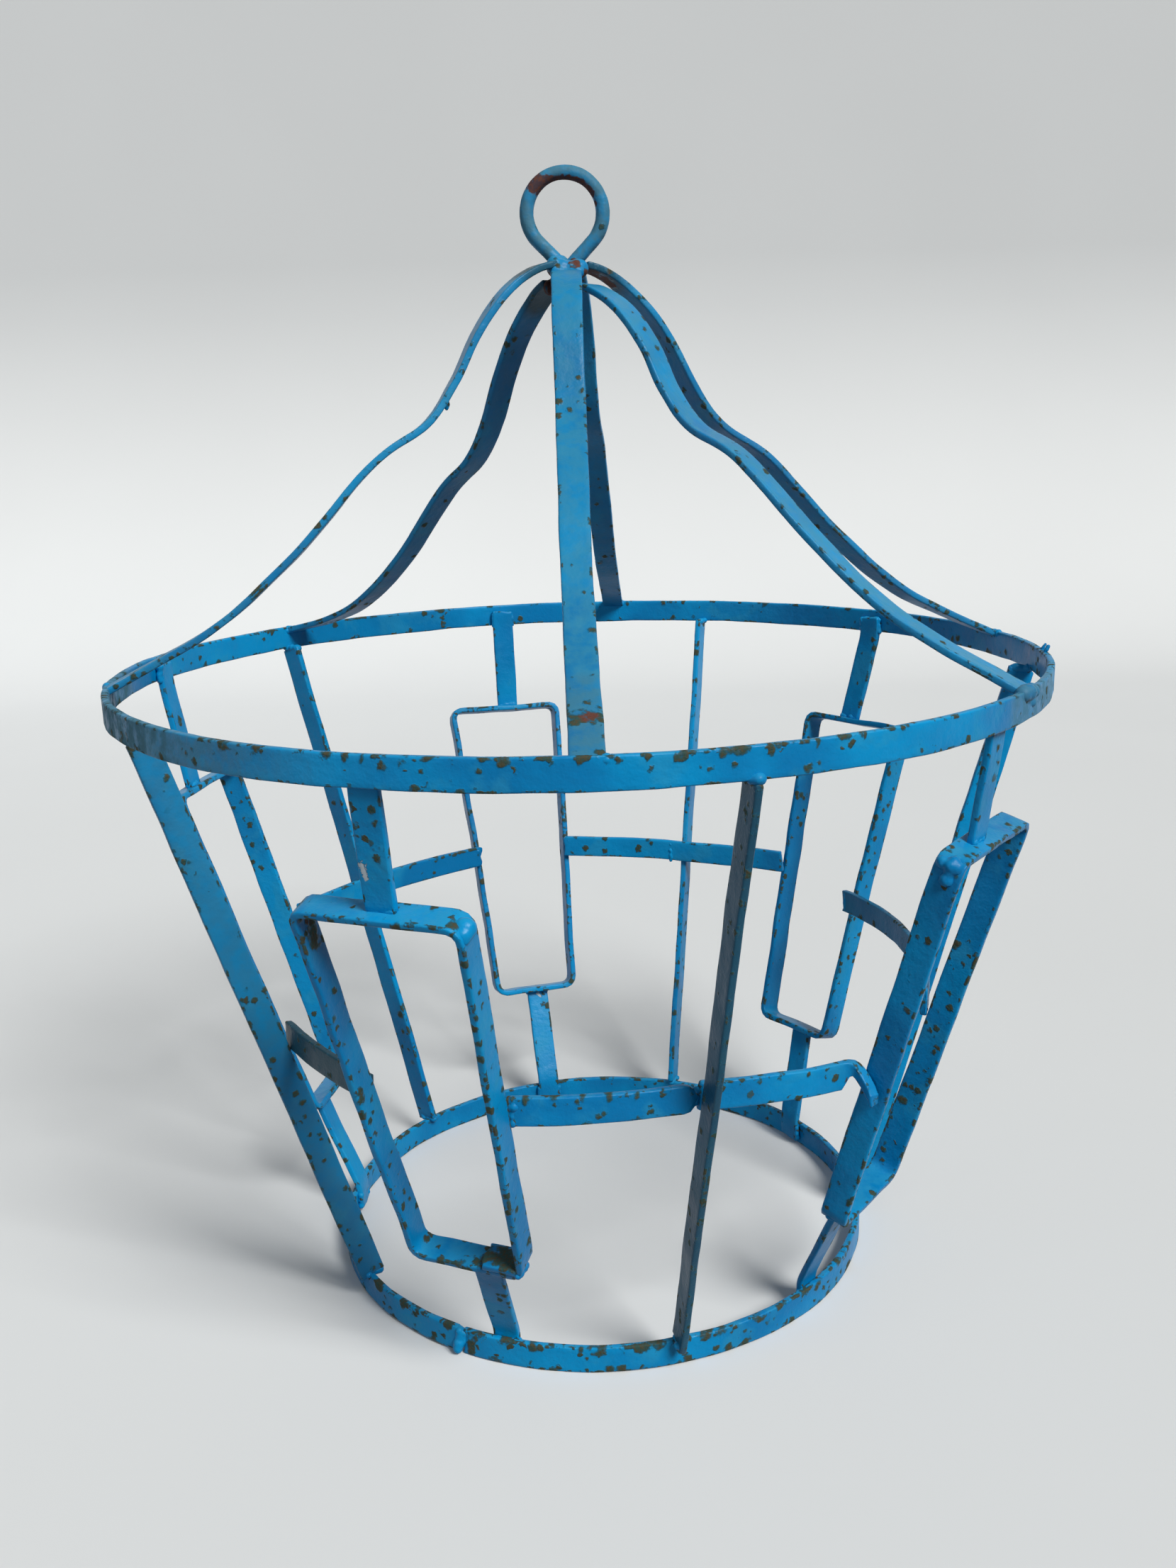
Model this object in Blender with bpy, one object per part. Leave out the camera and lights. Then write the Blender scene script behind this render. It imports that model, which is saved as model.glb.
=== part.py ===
"""Hanging basket of welded flat bar, hand made and painted: an open bucket of hoops and window
frames, a domed crown of six bent straps, and a round-rod eye to hang it by.

Metres, +Z up. The origin is under the rim's centre, on the surface the basket stands on.
Bearings are degrees round +Z, from 0 at the front (-Y) towards +X. Each bar is modelled in a local
frame whose outward direction is -Y and turned to its bearing. Welded neighbours stand GAP apart.
The work is hand made, so the base's centre isn't quite under the rim's, both hoops are a little
oval, and the members aren't evenly spaced.
"""

import math

import bmesh
import bpy
from mathutils import Matrix, Vector

# Stock
BAR_W = 0.010  # flat bar, wide side
BAR_T = 0.0025  # flat bar, thickness
ROD_D = 0.005  # round rod of the eye
GAP = 0.0003

# Hoops
RIM_R = 0.175  # outer radius of the top hoop
RIM_TOP = 0.2415
BASE_R = 0.1073  # outer radius of the base hoop
RIM_OVAL, RIM_LONG = 0.0093, 116.0  # share of the radius, bearing of the long axis
BASE_OVAL, BASE_LONG = 0.0146, 103.0
BASE_SHIFT = (0.0034, -0.0011)  # the base's centre, from the rim's
HOOP_STEPS = 96

# Window frames: a closed loop of flat bar on edge, tapering downwards, in a plane leaning outwards
WINDOW_TOP = 0.1897
WINDOW_BOTTOM = 0.0512
WINDOW_TOP_R = 0.1693  # distance from the axis to the outer edge of the frame, at its top
WINDOW_BOTTOM_R = 0.1267
WINDOW_TOP_HALF = 0.0280
WINDOW_BOTTOM_HALF = 0.0203
WINDOW_CORNER_R = 0.0062
CORNER_STEPS = 5
# bearings: frame, tab above it (top, end), leg below it (top, foot);
# then how much wider its half is, how much lower its foot, how much higher its head, and how
# far its foot is set to the side
WINDOWS = {
    "front_left": (-21.5, (-20.5, -21.0), (-19.0, -20.5), 0.0010, 0.0008, 0.0015, 0.0),
    "front_right": (52.95, (50.0, 50.0), (45.5, 48.0), 0.0018, 0.0030, 0.0030, -0.0055),
    "back_right": (128.7, (128.5, 130.3), (127.0, 122.0), 0.0, 0.0055, 0.0, 0.0),
    "back_left": (-165.5, (-166.4, -166.2), (-165.8, -165.5), 0.0, 0.0006, 0.0, 0.0),
    "left": (-100.3, (-98.5, -98.0), (-98.0, -94.0), 0.0, 0.0060, -0.0035, 0.0),
}
TAB_TOP = 0.2385  # the tab laps the inside of the rim up to here
LEG_FOOT = 0.0020  # the leg laps the inside of the base hoop down to here

# Upright bars on edge, one between each two frames
UPRIGHT_TOP_R = 0.1755  # outer edge
UPRIGHT_FOOT_R = 0.1120
# bearing at the top and at the foot
# Uprights: bearing of the top, bearing of the foot, how much further out it stands
UPRIGHTS = {
    "front": (16.2, 14.0, 0.0),
    "right": (89.2, 88.6, 0.0010),
    "back": (159.3, 160.0, 0.0),
    "back_left": (-127.8, -129.5, 0.0),
    "left": (-57.6, -58.1, 0.0),
}

# Ties: flat bar standing upright, bent round inside the frames and the upright between them
TIE_STEPS = 18
# frame (or none, if it starts at the upright), upright, frame; height of the middle; degrees it
# runs on past the second frame's bar; how much higher its first end is
TIES = {
    "right": ("front_right", "right", "back_right", 0.1137, 0.8, 0.0070),
    "back": ("back_right", "back", "back_left", 0.1225, 0.0, 0.0),
    "back_left": ("back_left", "back_left", "left", 0.1220, 0.0, 0.0),
    "left": (None, "left", "front_left", 0.1160, -2.3, 0.0),
}
TIE_LAP = 1.7  # degrees that a tie that starts at an upright starts before it
FRONT_TIE_Z = 0.1170
FRONT_TIE_FALL = 0.0045  # the right half runs down by this much on its way to its fold
FOLD_R = 0.0040
FOLD_REACH = 0.0065

# Crown
CROWN_TOP = 0.3852  # strap centre line at the axis, if it ran that far
CROWN_SHIFT = (-0.0008, -0.0011)  # the crown's centre, from the rim's
HUB_R = 0.0105
HUB_DEPTH = 0.0110
STRAP_W_HUB = 0.0110
STRAP_STEPS = 40
# bearing at the hub, bearing at the rim, drop at the hub, sag at half its reach, and the degrees
# that its flat is twisted by at half its reach
STRAPS = {
    "front": (0.0, 0.8, 0.0035, 0.0, 0.0),
    "front_right": (48.0, 56.5, 0.0079, -0.0005, 0.0),
    "back_right": (107.0, 101.7, 0.0, 0.0034, 26.0),
    "back": (172.8, 174.5, 0.0, 0.0, 0.0),
    "back_left": (-139.0, -129.2, 0.0050, 0.0125, 0.0),
    "left": (-59.3, -75.6, 0.0, 0.0, -18.0),
}
# the ogee that the smith bent: radius and height of its centre line at each change of curve
OGEE = (
    (0.0000, 0.3845),
    (0.0130, 0.3820),
    (0.0260, 0.3730),
    (0.0365, 0.3595),
    (0.0455, 0.3425),
    (0.0560, 0.3290),
    (0.0755, 0.3160),
    (0.1050, 0.2850),
    (0.1330, 0.2610),
    (0.1715, 0.2400),
)

# Eye
EYE_MID_R = 0.0137
EYE_CENTRE_Z = 0.4014
EYE_TAIL_X = 0.0037
EYE_TAIL_DROP = 0.0157
EYE_SIDE_STEP = 0.0012  # half the offset between the rod's two ends
EYE_STEPS = 56

BLUE = (0.010, 0.235, 0.545, 1.0)
BLUE_WORN = (0.020, 0.205, 0.430, 1.0)


def clear_scene():
    for obj in list(bpy.data.objects):
        bpy.data.objects.remove(obj, do_unlink=True)


def paint(name, colour, roughness):
    material = bpy.data.materials.new(name)
    material.use_nodes = True
    shader = material.node_tree.nodes["Principled BSDF"]
    shader.inputs["Base Color"].default_value = colour
    shader.inputs["Roughness"].default_value = roughness
    shader.inputs["Metallic"].default_value = 0.0
    return material


def turned(x, y, bearing):
    """A level offset in the world, seen from the local frame at this bearing."""
    return Matrix.Rotation(-math.radians(bearing), 3, "Z") @ Vector((x, y, 0.0))


def oval(radius, share, long_bearing, bearing):
    return radius * (1.0 + share * math.cos(2 * math.radians(bearing - long_bearing)))


def rim_r(bearing):
    return oval(RIM_R, RIM_OVAL, RIM_LONG, bearing)


def base_r(bearing):
    return oval(BASE_R, BASE_OVAL, BASE_LONG, bearing)


def wall_shift(z, bearing):
    """How far the wall's centre is off the rim's at this height, in the local frame."""
    share = 1.0 - min(z / RIM_TOP, 1.0)
    return turned(BASE_SHIFT[0] * share, BASE_SHIFT[1] * share, bearing)


def add_object(name, data, bearing, parent, colour, roughness):
    obj = bpy.data.objects.new(name, data)
    obj.rotation_euler.z = math.radians(bearing)
    obj.parent = parent
    obj.data.materials.append(paint(name, colour, roughness))
    bpy.context.scene.collection.objects.link(obj)
    return obj


def bar(name, stations, parent, bearing=0.0, closed=False, smooth=True, shifted=True):
    """A solid of rectangular section swept through stations of (centre, wide, thin).

    wide and thin are half-section vectors. A member of the wall moves over towards the base."""
    bm = bmesh.new()
    rings = []
    for centre, wide, thin in stations:
        if shifted:
            centre = centre + wall_shift(centre.z, bearing)
        corners = (wide + thin, wide - thin, -wide - thin, -wide + thin)
        rings.append([bm.verts.new(centre + corner) for corner in corners])
    pairs = list(zip(rings, rings[1:]))
    if closed:
        pairs.append((rings[-1], rings[0]))
    else:
        bm.faces.new(rings[0])
        bm.faces.new(list(reversed(rings[-1])))
    for near, far in pairs:
        for i in range(4):
            j = (i + 1) % 4
            bm.faces.new((near[i], far[i], far[j], near[j]))
    bmesh.ops.recalc_face_normals(bm, faces=bm.faces[:])
    mesh = bpy.data.meshes.new(name)
    bm.to_mesh(mesh)
    bm.free()
    if smooth:
        mesh.shade_smooth()
        mesh.set_sharp_from_angle(angle=math.radians(35))
    return add_object(name, mesh, bearing, parent, BLUE, 0.38)


def hoop(name, outer_r, bottom, parent):
    stations = []
    for i in range(HOOP_STEPS):
        a = math.tau * i / HOOP_STEPS
        out = Vector((math.sin(a), -math.cos(a), 0.0))
        mid_r = outer_r(math.degrees(a)) - BAR_T / 2
        centre = out * mid_r + Vector((0.0, 0.0, bottom + BAR_W / 2))
        stations.append((centre, Vector((0, 0, BAR_W / 2)), out * (BAR_T / 2)))
    return bar(name, stations, parent, closed=True)


def window_axes(lower, higher, aside=0.0):
    """The leaning plane of a window frame: its foot, head, up direction and outward normal."""
    foot = Vector((aside, -WINDOW_BOTTOM_R, WINDOW_BOTTOM - lower))
    head = Vector((0.0, -WINDOW_TOP_R, WINDOW_TOP + higher))
    up = (head - foot).normalized()
    out = Vector((1.0, 0.0, 0.0)).cross(up).normalized()
    return foot, head, up, out


def window_outline(wider, lower, higher, aside):
    """Centre line of the frame's bar: a rounded trapezium, as (point, outward side) pairs."""
    foot, head, up, _ = window_axes(lower, higher, aside)
    side = Vector((1.0, 0.0, 0.0))
    height = (head - foot).length
    top_half = WINDOW_TOP_HALF + wider
    foot_half = WINDOW_BOTTOM_HALF + wider
    corners = [(-foot_half, 0.0), (foot_half, 0.0), (top_half, height), (-top_half, height)]
    path = []
    for i, corner in enumerate(corners):
        here = Vector(corner)
        to_last = (Vector(corners[i - 1]) - here).normalized()
        to_next = (Vector(corners[(i + 1) % 4]) - here).normalized()
        half_angle = to_last.angle(to_next) / 2
        bisector = (to_last + to_next).normalized()
        centre = here + bisector * (WINDOW_CORNER_R / math.sin(half_angle))
        start = here + to_last * (WINDOW_CORNER_R / math.tan(half_angle)) - centre
        sweep = math.pi - 2 * half_angle
        for step in range(CORNER_STEPS + 1):
            a = sweep * step / CORNER_STEPS
            ray = Vector(
                (
                    start.x * math.cos(a) - start.y * math.sin(a),
                    start.x * math.sin(a) + start.y * math.cos(a),
                )
            ).normalized()
            point = centre + ray * (WINDOW_CORNER_R - BAR_T / 2)
            path.append((foot + side * point.x + up * point.y, side * ray.x + up * ray.y))
    return path


def window_frame(name, bearing, wider, lower, higher, aside, parent):
    out = window_axes(lower, higher, aside)[3]
    stations = [
        (point - out * (BAR_W / 2), out * (BAR_W / 2), ray * (BAR_T / 2))
        for point, ray in window_outline(wider, lower, higher, aside)
    ]
    return bar(name, stations, parent, bearing, closed=True)


def strip_stations(points, wide):
    """Stations of a strip through points in a plane across wide, mitred at each bend."""
    stations = []
    for i, point in enumerate(points):
        before = (point - points[i - 1]).normalized() if i else None
        after = (points[i + 1] - point).normalized() if i + 1 < len(points) else None
        along = ((before or after) + (after or before)).normalized()
        thin = wide.cross(along).normalized()
        stretch = 1.0 / max(thin.dot(wide.cross(before or after).normalized()), 0.5)
        stations.append((point, wide, thin * (stretch * BAR_T / 2)))
    return stations


def twisted(stations, degrees):
    """The stations, each turned about the axis by its own angle."""
    out = []
    for (centre, wide, thin), angle in zip(stations, degrees):
        turn = Matrix.Rotation(math.radians(angle), 3, "Z")
        out.append((turn @ centre, turn @ wide, turn @ thin))
    return out


def tab(name, bearings, lower, higher, parent):
    """From the inside of the rim down to the middle of a frame's top bar."""
    top_at, end_at = bearings
    _, head, up, out = window_axes(lower, higher)
    lap = -(rim_r(top_at) - BAR_T - GAP - BAR_T / 2)
    end = head - out * (BAR_W / 2) + up * (GAP + 0.0012)
    points = [Vector((0, lap, TAB_TOP)), Vector((0, lap, RIM_TOP - BAR_W - 0.001)), end]
    stations = strip_stations(points, Vector((BAR_W / 2, 0, 0)))
    turns = (0.0, 0.0, end_at - top_at)
    return bar(name, twisted(stations, turns), parent, top_at)


def leg(name, bearings, lower, higher, parent):
    """From the middle of a frame's bottom bar down to the inside of the base hoop."""
    top_at, foot_at = bearings
    foot, _, up, out = window_axes(lower, higher)
    lap = -(base_r(foot_at) - BAR_T - GAP - BAR_T / 2)
    start = foot - out * (BAR_W / 2) - up * (GAP + 0.0014)
    points = [start, Vector((0, lap, BAR_W + 0.0015)), Vector((0, lap, LEG_FOOT))]
    stations = strip_stations(points, Vector((BAR_W / 2, 0, 0)))
    turns = (top_at - foot_at, 0.0, 0.0)
    return bar(name, twisted(stations, turns), parent, foot_at)


def upright(name, top_bearing, foot_bearing, further, parent):
    """A bar on edge from the base hoop's top edge to the rim's lower edge."""
    top = Vector((0.0, -UPRIGHT_TOP_R - further, RIM_TOP - BAR_W - GAP))
    foot = Vector((0.0, -UPRIGHT_FOOT_R - further, BAR_W + GAP))
    up = (top - foot).normalized()
    span = BAR_W / up.z  # the bar's ends are cut level
    thin = Vector((BAR_T / 2, 0.0, 0.0))
    wide = Vector((0.0, -span / 2, 0.0))
    stations = [(foot - wide, wide, thin), (top - wide, wide, thin)]
    turns = (foot_bearing - top_bearing, 0.0)
    return bar(name, twisted(stations, turns), parent, top_bearing, smooth=False)


def window_inner_r(z):
    """Distance from the axis to the inner edge of a frame's side bar at this height."""
    lean = (WINDOW_TOP_R - WINDOW_BOTTOM_R) / (WINDOW_TOP - WINDOW_BOTTOM)
    share = (z - WINDOW_BOTTOM) / (WINDOW_TOP - WINDOW_BOTTOM)
    half = WINDOW_BOTTOM_HALF + share * (WINDOW_TOP_HALF - WINDOW_BOTTOM_HALF)
    flat = WINDOW_BOTTOM_R + lean * (z - WINDOW_BOTTOM) - BAR_W * math.hypot(1.0, lean)
    return math.hypot(flat, half - BAR_T), math.degrees(math.atan2(half - BAR_T / 2, flat))


def upright_inner_r(z):
    lean = (UPRIGHT_TOP_R - UPRIGHT_FOOT_R) / (RIM_TOP - 2 * BAR_W)
    return UPRIGHT_FOOT_R + lean * (z - BAR_W) - BAR_W * math.hypot(1.0, lean)


def tie_point(bearing, middle, half_span, mid_z, dz=0.0, further=0.0):
    """Centre line of a tie: nearest the axis at the upright, further out at the frames."""
    low = mid_z - BAR_W / 2
    at_frame = window_inner_r(low)[0] - GAP - BAR_T / 2
    at_upright = upright_inner_r(low) + further - GAP - BAR_T / 2
    share = min(abs(bearing - middle) / half_span, 1.0)
    r = at_upright + (at_frame - at_upright) * share * share
    a = math.radians(bearing)
    return Vector((r * math.sin(a), -r * math.cos(a), mid_z + dz))


def unwrap(bearing, near):
    while bearing < near - 180:
        bearing += 360
    while bearing > near + 180:
        bearing -= 360
    return bearing


def bar_bearing(name, z, hand):
    """Bearing of the middle of a frame's side bar at a height: hand is -1 or 1."""
    bearing, _, _, wider, _, _, aside = WINDOWS[name]
    share = (z - WINDOW_BOTTOM) / (WINDOW_TOP - WINDOW_BOTTOM)
    r, off = window_inner_r(z)
    shift = hand * wider + aside * (1.0 - share)
    return bearing + hand * off + math.degrees(shift / r)


def tie(name, first, middle, last, mid_z, run_past, rise, parent):
    """One strip from the middle of one frame's side bar, or from the upright, to the middle of the
    next frame's."""
    mid = UPRIGHTS[middle][0]
    start = unwrap(bar_bearing(first, mid_z, 1), mid) - 0.4 if first else mid - TIE_LAP
    end = unwrap(bar_bearing(last, mid_z, -1), mid) + 0.4 + run_past
    points = []
    for i in range(TIE_STEPS + 1):
        b = start + (end - start) * i / TIE_STEPS
        half = mid - start if first and b < mid else end - mid
        z = mid_z + rise * (1 - i / TIE_STEPS)
        points.append(tie_point(b, mid, half, z, further=UPRIGHTS[middle][2]))
    return bar(name, strip_stations(points, Vector((0, 0, BAR_W / 2))), parent)


def front_ties(parent):
    """The front tie is in two lengths that meet behind the front upright. The right one ends in a
    fold that lies along the side of the next frame."""
    mid = (UPRIGHTS["front"][0] + UPRIGHTS["front"][1]) / 2
    start = bar_bearing("front_left", FRONT_TIE_Z, 1) - 0.6
    end = bar_bearing("front_right", FRONT_TIE_Z, -1) + 0.1
    half = max(mid - start, end - mid)
    left = [
        tie_point(start + (mid - 1.0 - start) * i / TIE_STEPS, mid, half, FRONT_TIE_Z, -0.0006)
        for i in range(TIE_STEPS + 1)
    ]
    wide = Vector((0, 0, BAR_W / 2))
    bar("tie_front_a", strip_stations(left, wide), parent)

    # straight run, then the fold: a quarter turn outwards and a short flat against the frame
    face = end - math.degrees((BAR_T + GAP) / 0.136)
    stop = face - math.degrees(FOLD_R / 0.133)
    right = [
        tie_point(
            mid - 0.2 + (stop - mid + 0.2) * i / TIE_STEPS,
            mid,
            half,
            FRONT_TIE_Z,
            -FRONT_TIE_FALL * i / TIE_STEPS,
        )
        for i in range(TIE_STEPS + 1)
    ]
    along = (right[-1] - right[-2]).normalized()
    out = along.cross(Vector((0, 0, 1)))
    pivot = right[-1] + out * FOLD_R
    turn = math.pi / 2 - 0.10
    for i in range(1, 6):
        a = turn * i / 5
        right.append(pivot + (along * math.sin(a) - out * math.cos(a)) * FOLD_R)
    ray = (right[-1] - right[-2]).normalized()
    right.append(right[-1] + ray * FOLD_REACH)
    bar("tie_front_b", strip_stations(right, wide), parent)


def ogee_points(steps):
    """A smooth curve through OGEE, as (radius, height) pairs evenly spaced along it."""
    knots = [Vector(p) for p in OGEE]
    knots = [2 * knots[0] - knots[1]] + knots + [2 * knots[-1] - knots[-2]]
    fine = []
    for a, b, c, d in zip(knots, knots[1:], knots[2:], knots[3:]):
        for i in range(12):
            t = i / 12
            fine.append(
                0.5
                * (
                    2 * b
                    + (c - a) * t
                    + (2 * a - 5 * b + 4 * c - d) * t**2
                    + (3 * b - a - 3 * c + d) * t**3
                )
            )
    fine.append(knots[-2])
    fine = [p for p in fine if p.x >= HUB_R + 2.5 * GAP]  # clear of the hub at its raked end
    run = [0.0]
    for p, q in zip(fine, fine[1:]):
        run.append(run[-1] + (q - p).length)
    points = []
    for i in range(steps + 1):
        want = run[-1] * i / steps
        k = next(j for j in range(1, len(run)) if run[j] >= want - 1e-12)
        share = (want - run[k - 1]) / (run[k] - run[k - 1])
        points.append(fine[k - 1].lerp(fine[k], share))
    return points


def strap(name, hub_bearing, rim_bearing, drop, sag, turn, parent):
    """A flat strap from the hub to the inside of the rim's top edge."""
    end_r = rim_r(rim_bearing) - BAR_T - GAP - 0.0001
    points = []
    for p in ogee_points(STRAP_STEPS):
        share = (p.x - HUB_R) / (OGEE[-1][0] - HUB_R)
        r = p.x + (end_r - OGEE[-1][0]) * share
        points.append((share, r, p.y - drop * (1 - share) ** 2 - 4 * sag * share * (1 - share)))
    to_hub = turned(CROWN_SHIFT[0], CROWN_SHIFT[1], rim_bearing)
    stations = []
    for i, (share, r, z) in enumerate(points):
        twist = math.radians((hub_bearing - rim_bearing) * (1.0 - share))
        out = Vector((math.sin(twist), -math.cos(twist), 0.0))
        _, ra, za = points[max(i - 1, 0)]
        _, rb, zb = points[min(i + 1, STRAP_STEPS)]
        along = (out * (rb - ra) + Vector((0, 0, zb - za))).normalized()
        across = Vector((0, 0, 1)).cross(out).normalized()
        across.rotate(Matrix.Rotation(math.radians(turn * 4 * share * (1 - share)), 3, "Z"))
        width = STRAP_W_HUB + (BAR_W - STRAP_W_HUB) * min(share * 2, 1.0)
        thin = across.cross(along).normalized() * (BAR_T / 2)
        across = along.cross(thin).normalized()
        if i == STRAP_STEPS:
            # the end is cut upright, parallel to the rim's inner face
            thin = Vector((0, 0, BAR_T / 2 / math.hypot(along.x, along.y)))
        centre = out * r + to_hub * (1.0 - share) + Vector((0, 0, z))
        stations.append((centre, across * (width / 2), thin))
    return bar(name, stations, parent, rim_bearing, shifted=False)


def hub(parent):
    """The lump of weld that joins the straps' inner ends."""
    bm = bmesh.new()
    top = CROWN_TOP - 0.0016
    sections = ((0.0075, -HUB_DEPTH), (HUB_R, 0.003 - HUB_DEPTH), (HUB_R, -0.0010), (0.0070, 0.0))
    rings = []
    for r, dz in sections:
        ring = []
        for i in range(24):
            a = math.tau * i / 24
            ring.append(bm.verts.new((r * math.sin(a), -r * math.cos(a), top + dz)))
        rings.append(ring)
    for low, high in zip(rings, rings[1:]):
        for i in range(24):
            j = (i + 1) % 24
            bm.faces.new((low[i], low[j], high[j], high[i]))
    bm.faces.new(list(reversed(rings[0])))
    bm.faces.new(rings[-1])
    bmesh.ops.recalc_face_normals(bm, faces=bm.faces[:])
    mesh = bpy.data.meshes.new("hub")
    bm.to_mesh(mesh)
    bm.free()
    mesh.shade_smooth()
    mesh.set_sharp_from_angle(angle=math.radians(40))
    obj = add_object("hub", mesh, 0.0, parent, BLUE_WORN, 0.5)
    obj.location = (CROWN_SHIFT[0], CROWN_SHIFT[1], 0.0)
    return obj


def eye(parent):
    """Round rod bent to a ring whose two ends run straight down to each other above the hub."""
    opening = math.radians(45)  # the ring leaves its circle this far to each side of the bottom
    path = [Vector((-EYE_TAIL_X, -EYE_TAIL_DROP))]
    for i in range(EYE_STEPS + 1):
        a = opening + (math.tau - 2 * opening) * i / EYE_STEPS
        path.append(Vector((-EYE_MID_R * math.sin(a), -EYE_MID_R * math.cos(a))))
    path.append(Vector((EYE_TAIL_X, -EYE_TAIL_DROP)))

    # round off the two bends where the ring turns down into its tails
    for side in (1, -2):
        a, b, c = path[side - 1], path[side], path[side + 1]
        path[side] = 0.5 * b + 0.25 * (a + c)
    curve = bpy.data.curves.new("eye", "CURVE")
    curve.dimensions = "3D"
    curve.bevel_depth = ROD_D / 2
    curve.bevel_resolution = 3
    curve.use_fill_caps = True
    spline = curve.splines.new("POLY")
    spline.points.add(len(path) - 1)
    last = len(path) - 1
    for i, p in enumerate(path):
        ease = max(-1.0, min(1.0, (i / last * 2 - 1) * 1.25))
        spline.points[i].co = (p.x, EYE_SIDE_STEP * ease, p.y, 1.0)
    spline.use_smooth = True
    obj = add_object("eye", curve, 0.0, parent, BLUE_WORN, 0.42)
    obj.location = (CROWN_SHIFT[0], CROWN_SHIFT[1], EYE_CENTRE_Z)
    return obj


def main():
    clear_scene()
    basket = bpy.data.objects.new("hanging_basket", None)
    bpy.context.scene.collection.objects.link(basket)

    hoop("rim", rim_r, RIM_TOP - BAR_W, basket)
    hoop("base_hoop", base_r, 0.0, basket)
    for name, (bearing, tab_at, leg_at, wider, lower, higher, aside) in WINDOWS.items():
        window_frame(f"window_{name}", bearing, wider, lower, higher, aside, basket)
        tab(f"tab_{name}", tab_at, lower, higher, basket)
        leg(f"leg_{name}", leg_at, lower, higher, basket)
    for name, (top_at, foot_at, further) in UPRIGHTS.items():
        upright(f"upright_{name}", top_at, foot_at, further, basket)
    for name, (first, middle, last, mid_z, run_past, rise) in TIES.items():
        tie(f"tie_{name}", first, middle, last, mid_z, run_past, rise, basket)
    front_ties(basket)
    for name, (hub_at, rim_at, drop, sag, turn) in STRAPS.items():
        strap(f"strap_{name}", hub_at, rim_at, drop, sag, turn, basket)
    hub(basket)
    eye(basket)


main()
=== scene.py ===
import math

import bmesh
import bpy
from mathutils import Matrix, Vector, noise


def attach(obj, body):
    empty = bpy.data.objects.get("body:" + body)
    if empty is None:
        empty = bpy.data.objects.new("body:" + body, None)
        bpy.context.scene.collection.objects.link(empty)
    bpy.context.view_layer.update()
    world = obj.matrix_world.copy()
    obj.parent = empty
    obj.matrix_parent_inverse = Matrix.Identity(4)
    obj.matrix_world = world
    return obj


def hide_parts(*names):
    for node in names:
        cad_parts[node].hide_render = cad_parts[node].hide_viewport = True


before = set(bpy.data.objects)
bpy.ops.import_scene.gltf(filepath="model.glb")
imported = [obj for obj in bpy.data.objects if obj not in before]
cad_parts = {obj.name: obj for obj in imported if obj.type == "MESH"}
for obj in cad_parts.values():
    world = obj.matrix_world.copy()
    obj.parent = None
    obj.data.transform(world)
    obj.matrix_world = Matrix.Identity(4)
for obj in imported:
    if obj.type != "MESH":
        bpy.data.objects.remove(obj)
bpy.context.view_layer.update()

# Looks of the hanging basket. Every bar is swept again along the line that its CAD solid follows,
# with eased edges, cut ends and the small waves of hand work, and painted lumps of weld join them.
# Bearings are degrees round +Z, from 0 at the front (-Y) towards +X. Metres.

# Stock
BAR_W, BAR_T = 0.0100, 0.0025
ROD_R = 0.0025
EASED = 0.0006  # radius of the bar's edges under the enamel
EDGE_BAND = 0.0012  # how far wear reaches in from an edge
STEP = 0.0022  # spacing of a bar's sections
BAR_DENT = 0.00009  # depth of the dents all over a bar
SWELL = 0.022  # share that a bar's width wanders by
RAGGED_SCALE = 260.0  # noise that roughens a cut end
LAP_GAP = 0.0001  # between bars that lie flat on each other
SINK = 0.0002  # how far an end runs into what it is welded to

# Hoops
RIM_R, RIM_TOP = 0.175, 0.2415
BASE_R = 0.1073
RIM_OVAL, RIM_LONG = 0.0093, 116.0
BASE_OVAL, BASE_LONG = 0.0146, 103.0
BASE_SHIFT = Vector((0.0034, -0.0011, 0.0))
BASE_ENDS = (-29.3, 329.9)  # bearings of the base hoop's two ends
SEAM_AT = -30.0  # bearing of the weld where they meet
BASE_END_STEP, BASE_END_RUN = 0.0006, 40  # how far off the last end is, over how many sections

# Window frames: bearing, (tab top, tab end), (leg top, leg foot), wider, lower foot, higher head,
# foot to the side
WINDOW_TOP, WINDOW_BOTTOM = 0.1897, 0.0512
WINDOW_TOP_R, WINDOW_BOTTOM_R = 0.1693, 0.1267
WINDOW_TOP_HALF, WINDOW_BOTTOM_HALF = 0.0280, 0.0203
WINDOW_CORNER_R = 0.0062
WINDOWS = {
    "front_left": (-21.5, (-20.5, -21.0), (-19.0, -20.5), 0.0010, 0.0008, 0.0015, 0.0),
    "front_right": (52.95, (50.0, 50.0), (45.5, 48.0), 0.0018, 0.0030, 0.0030, -0.0055),
    "back_right": (128.7, (128.5, 130.3), (127.0, 122.0), 0.0, 0.0055, 0.0, 0.0),
    "back_left": (-165.5, (-166.4, -166.2), (-165.8, -165.5), 0.0, 0.0006, 0.0, 0.0),
    "left": (-100.3, (-98.5, -98.0), (-98.0, -94.0), 0.0, 0.0060, -0.0035, 0.0),
}
TAB_TOP, LEG_FOOT = 0.2385, 0.0020
PLATE_BEND_R = 0.0030  # of the bends in a tab or a leg
LAP_W = 0.0104  # of the end that laps over on the front left frame's foot

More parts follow.
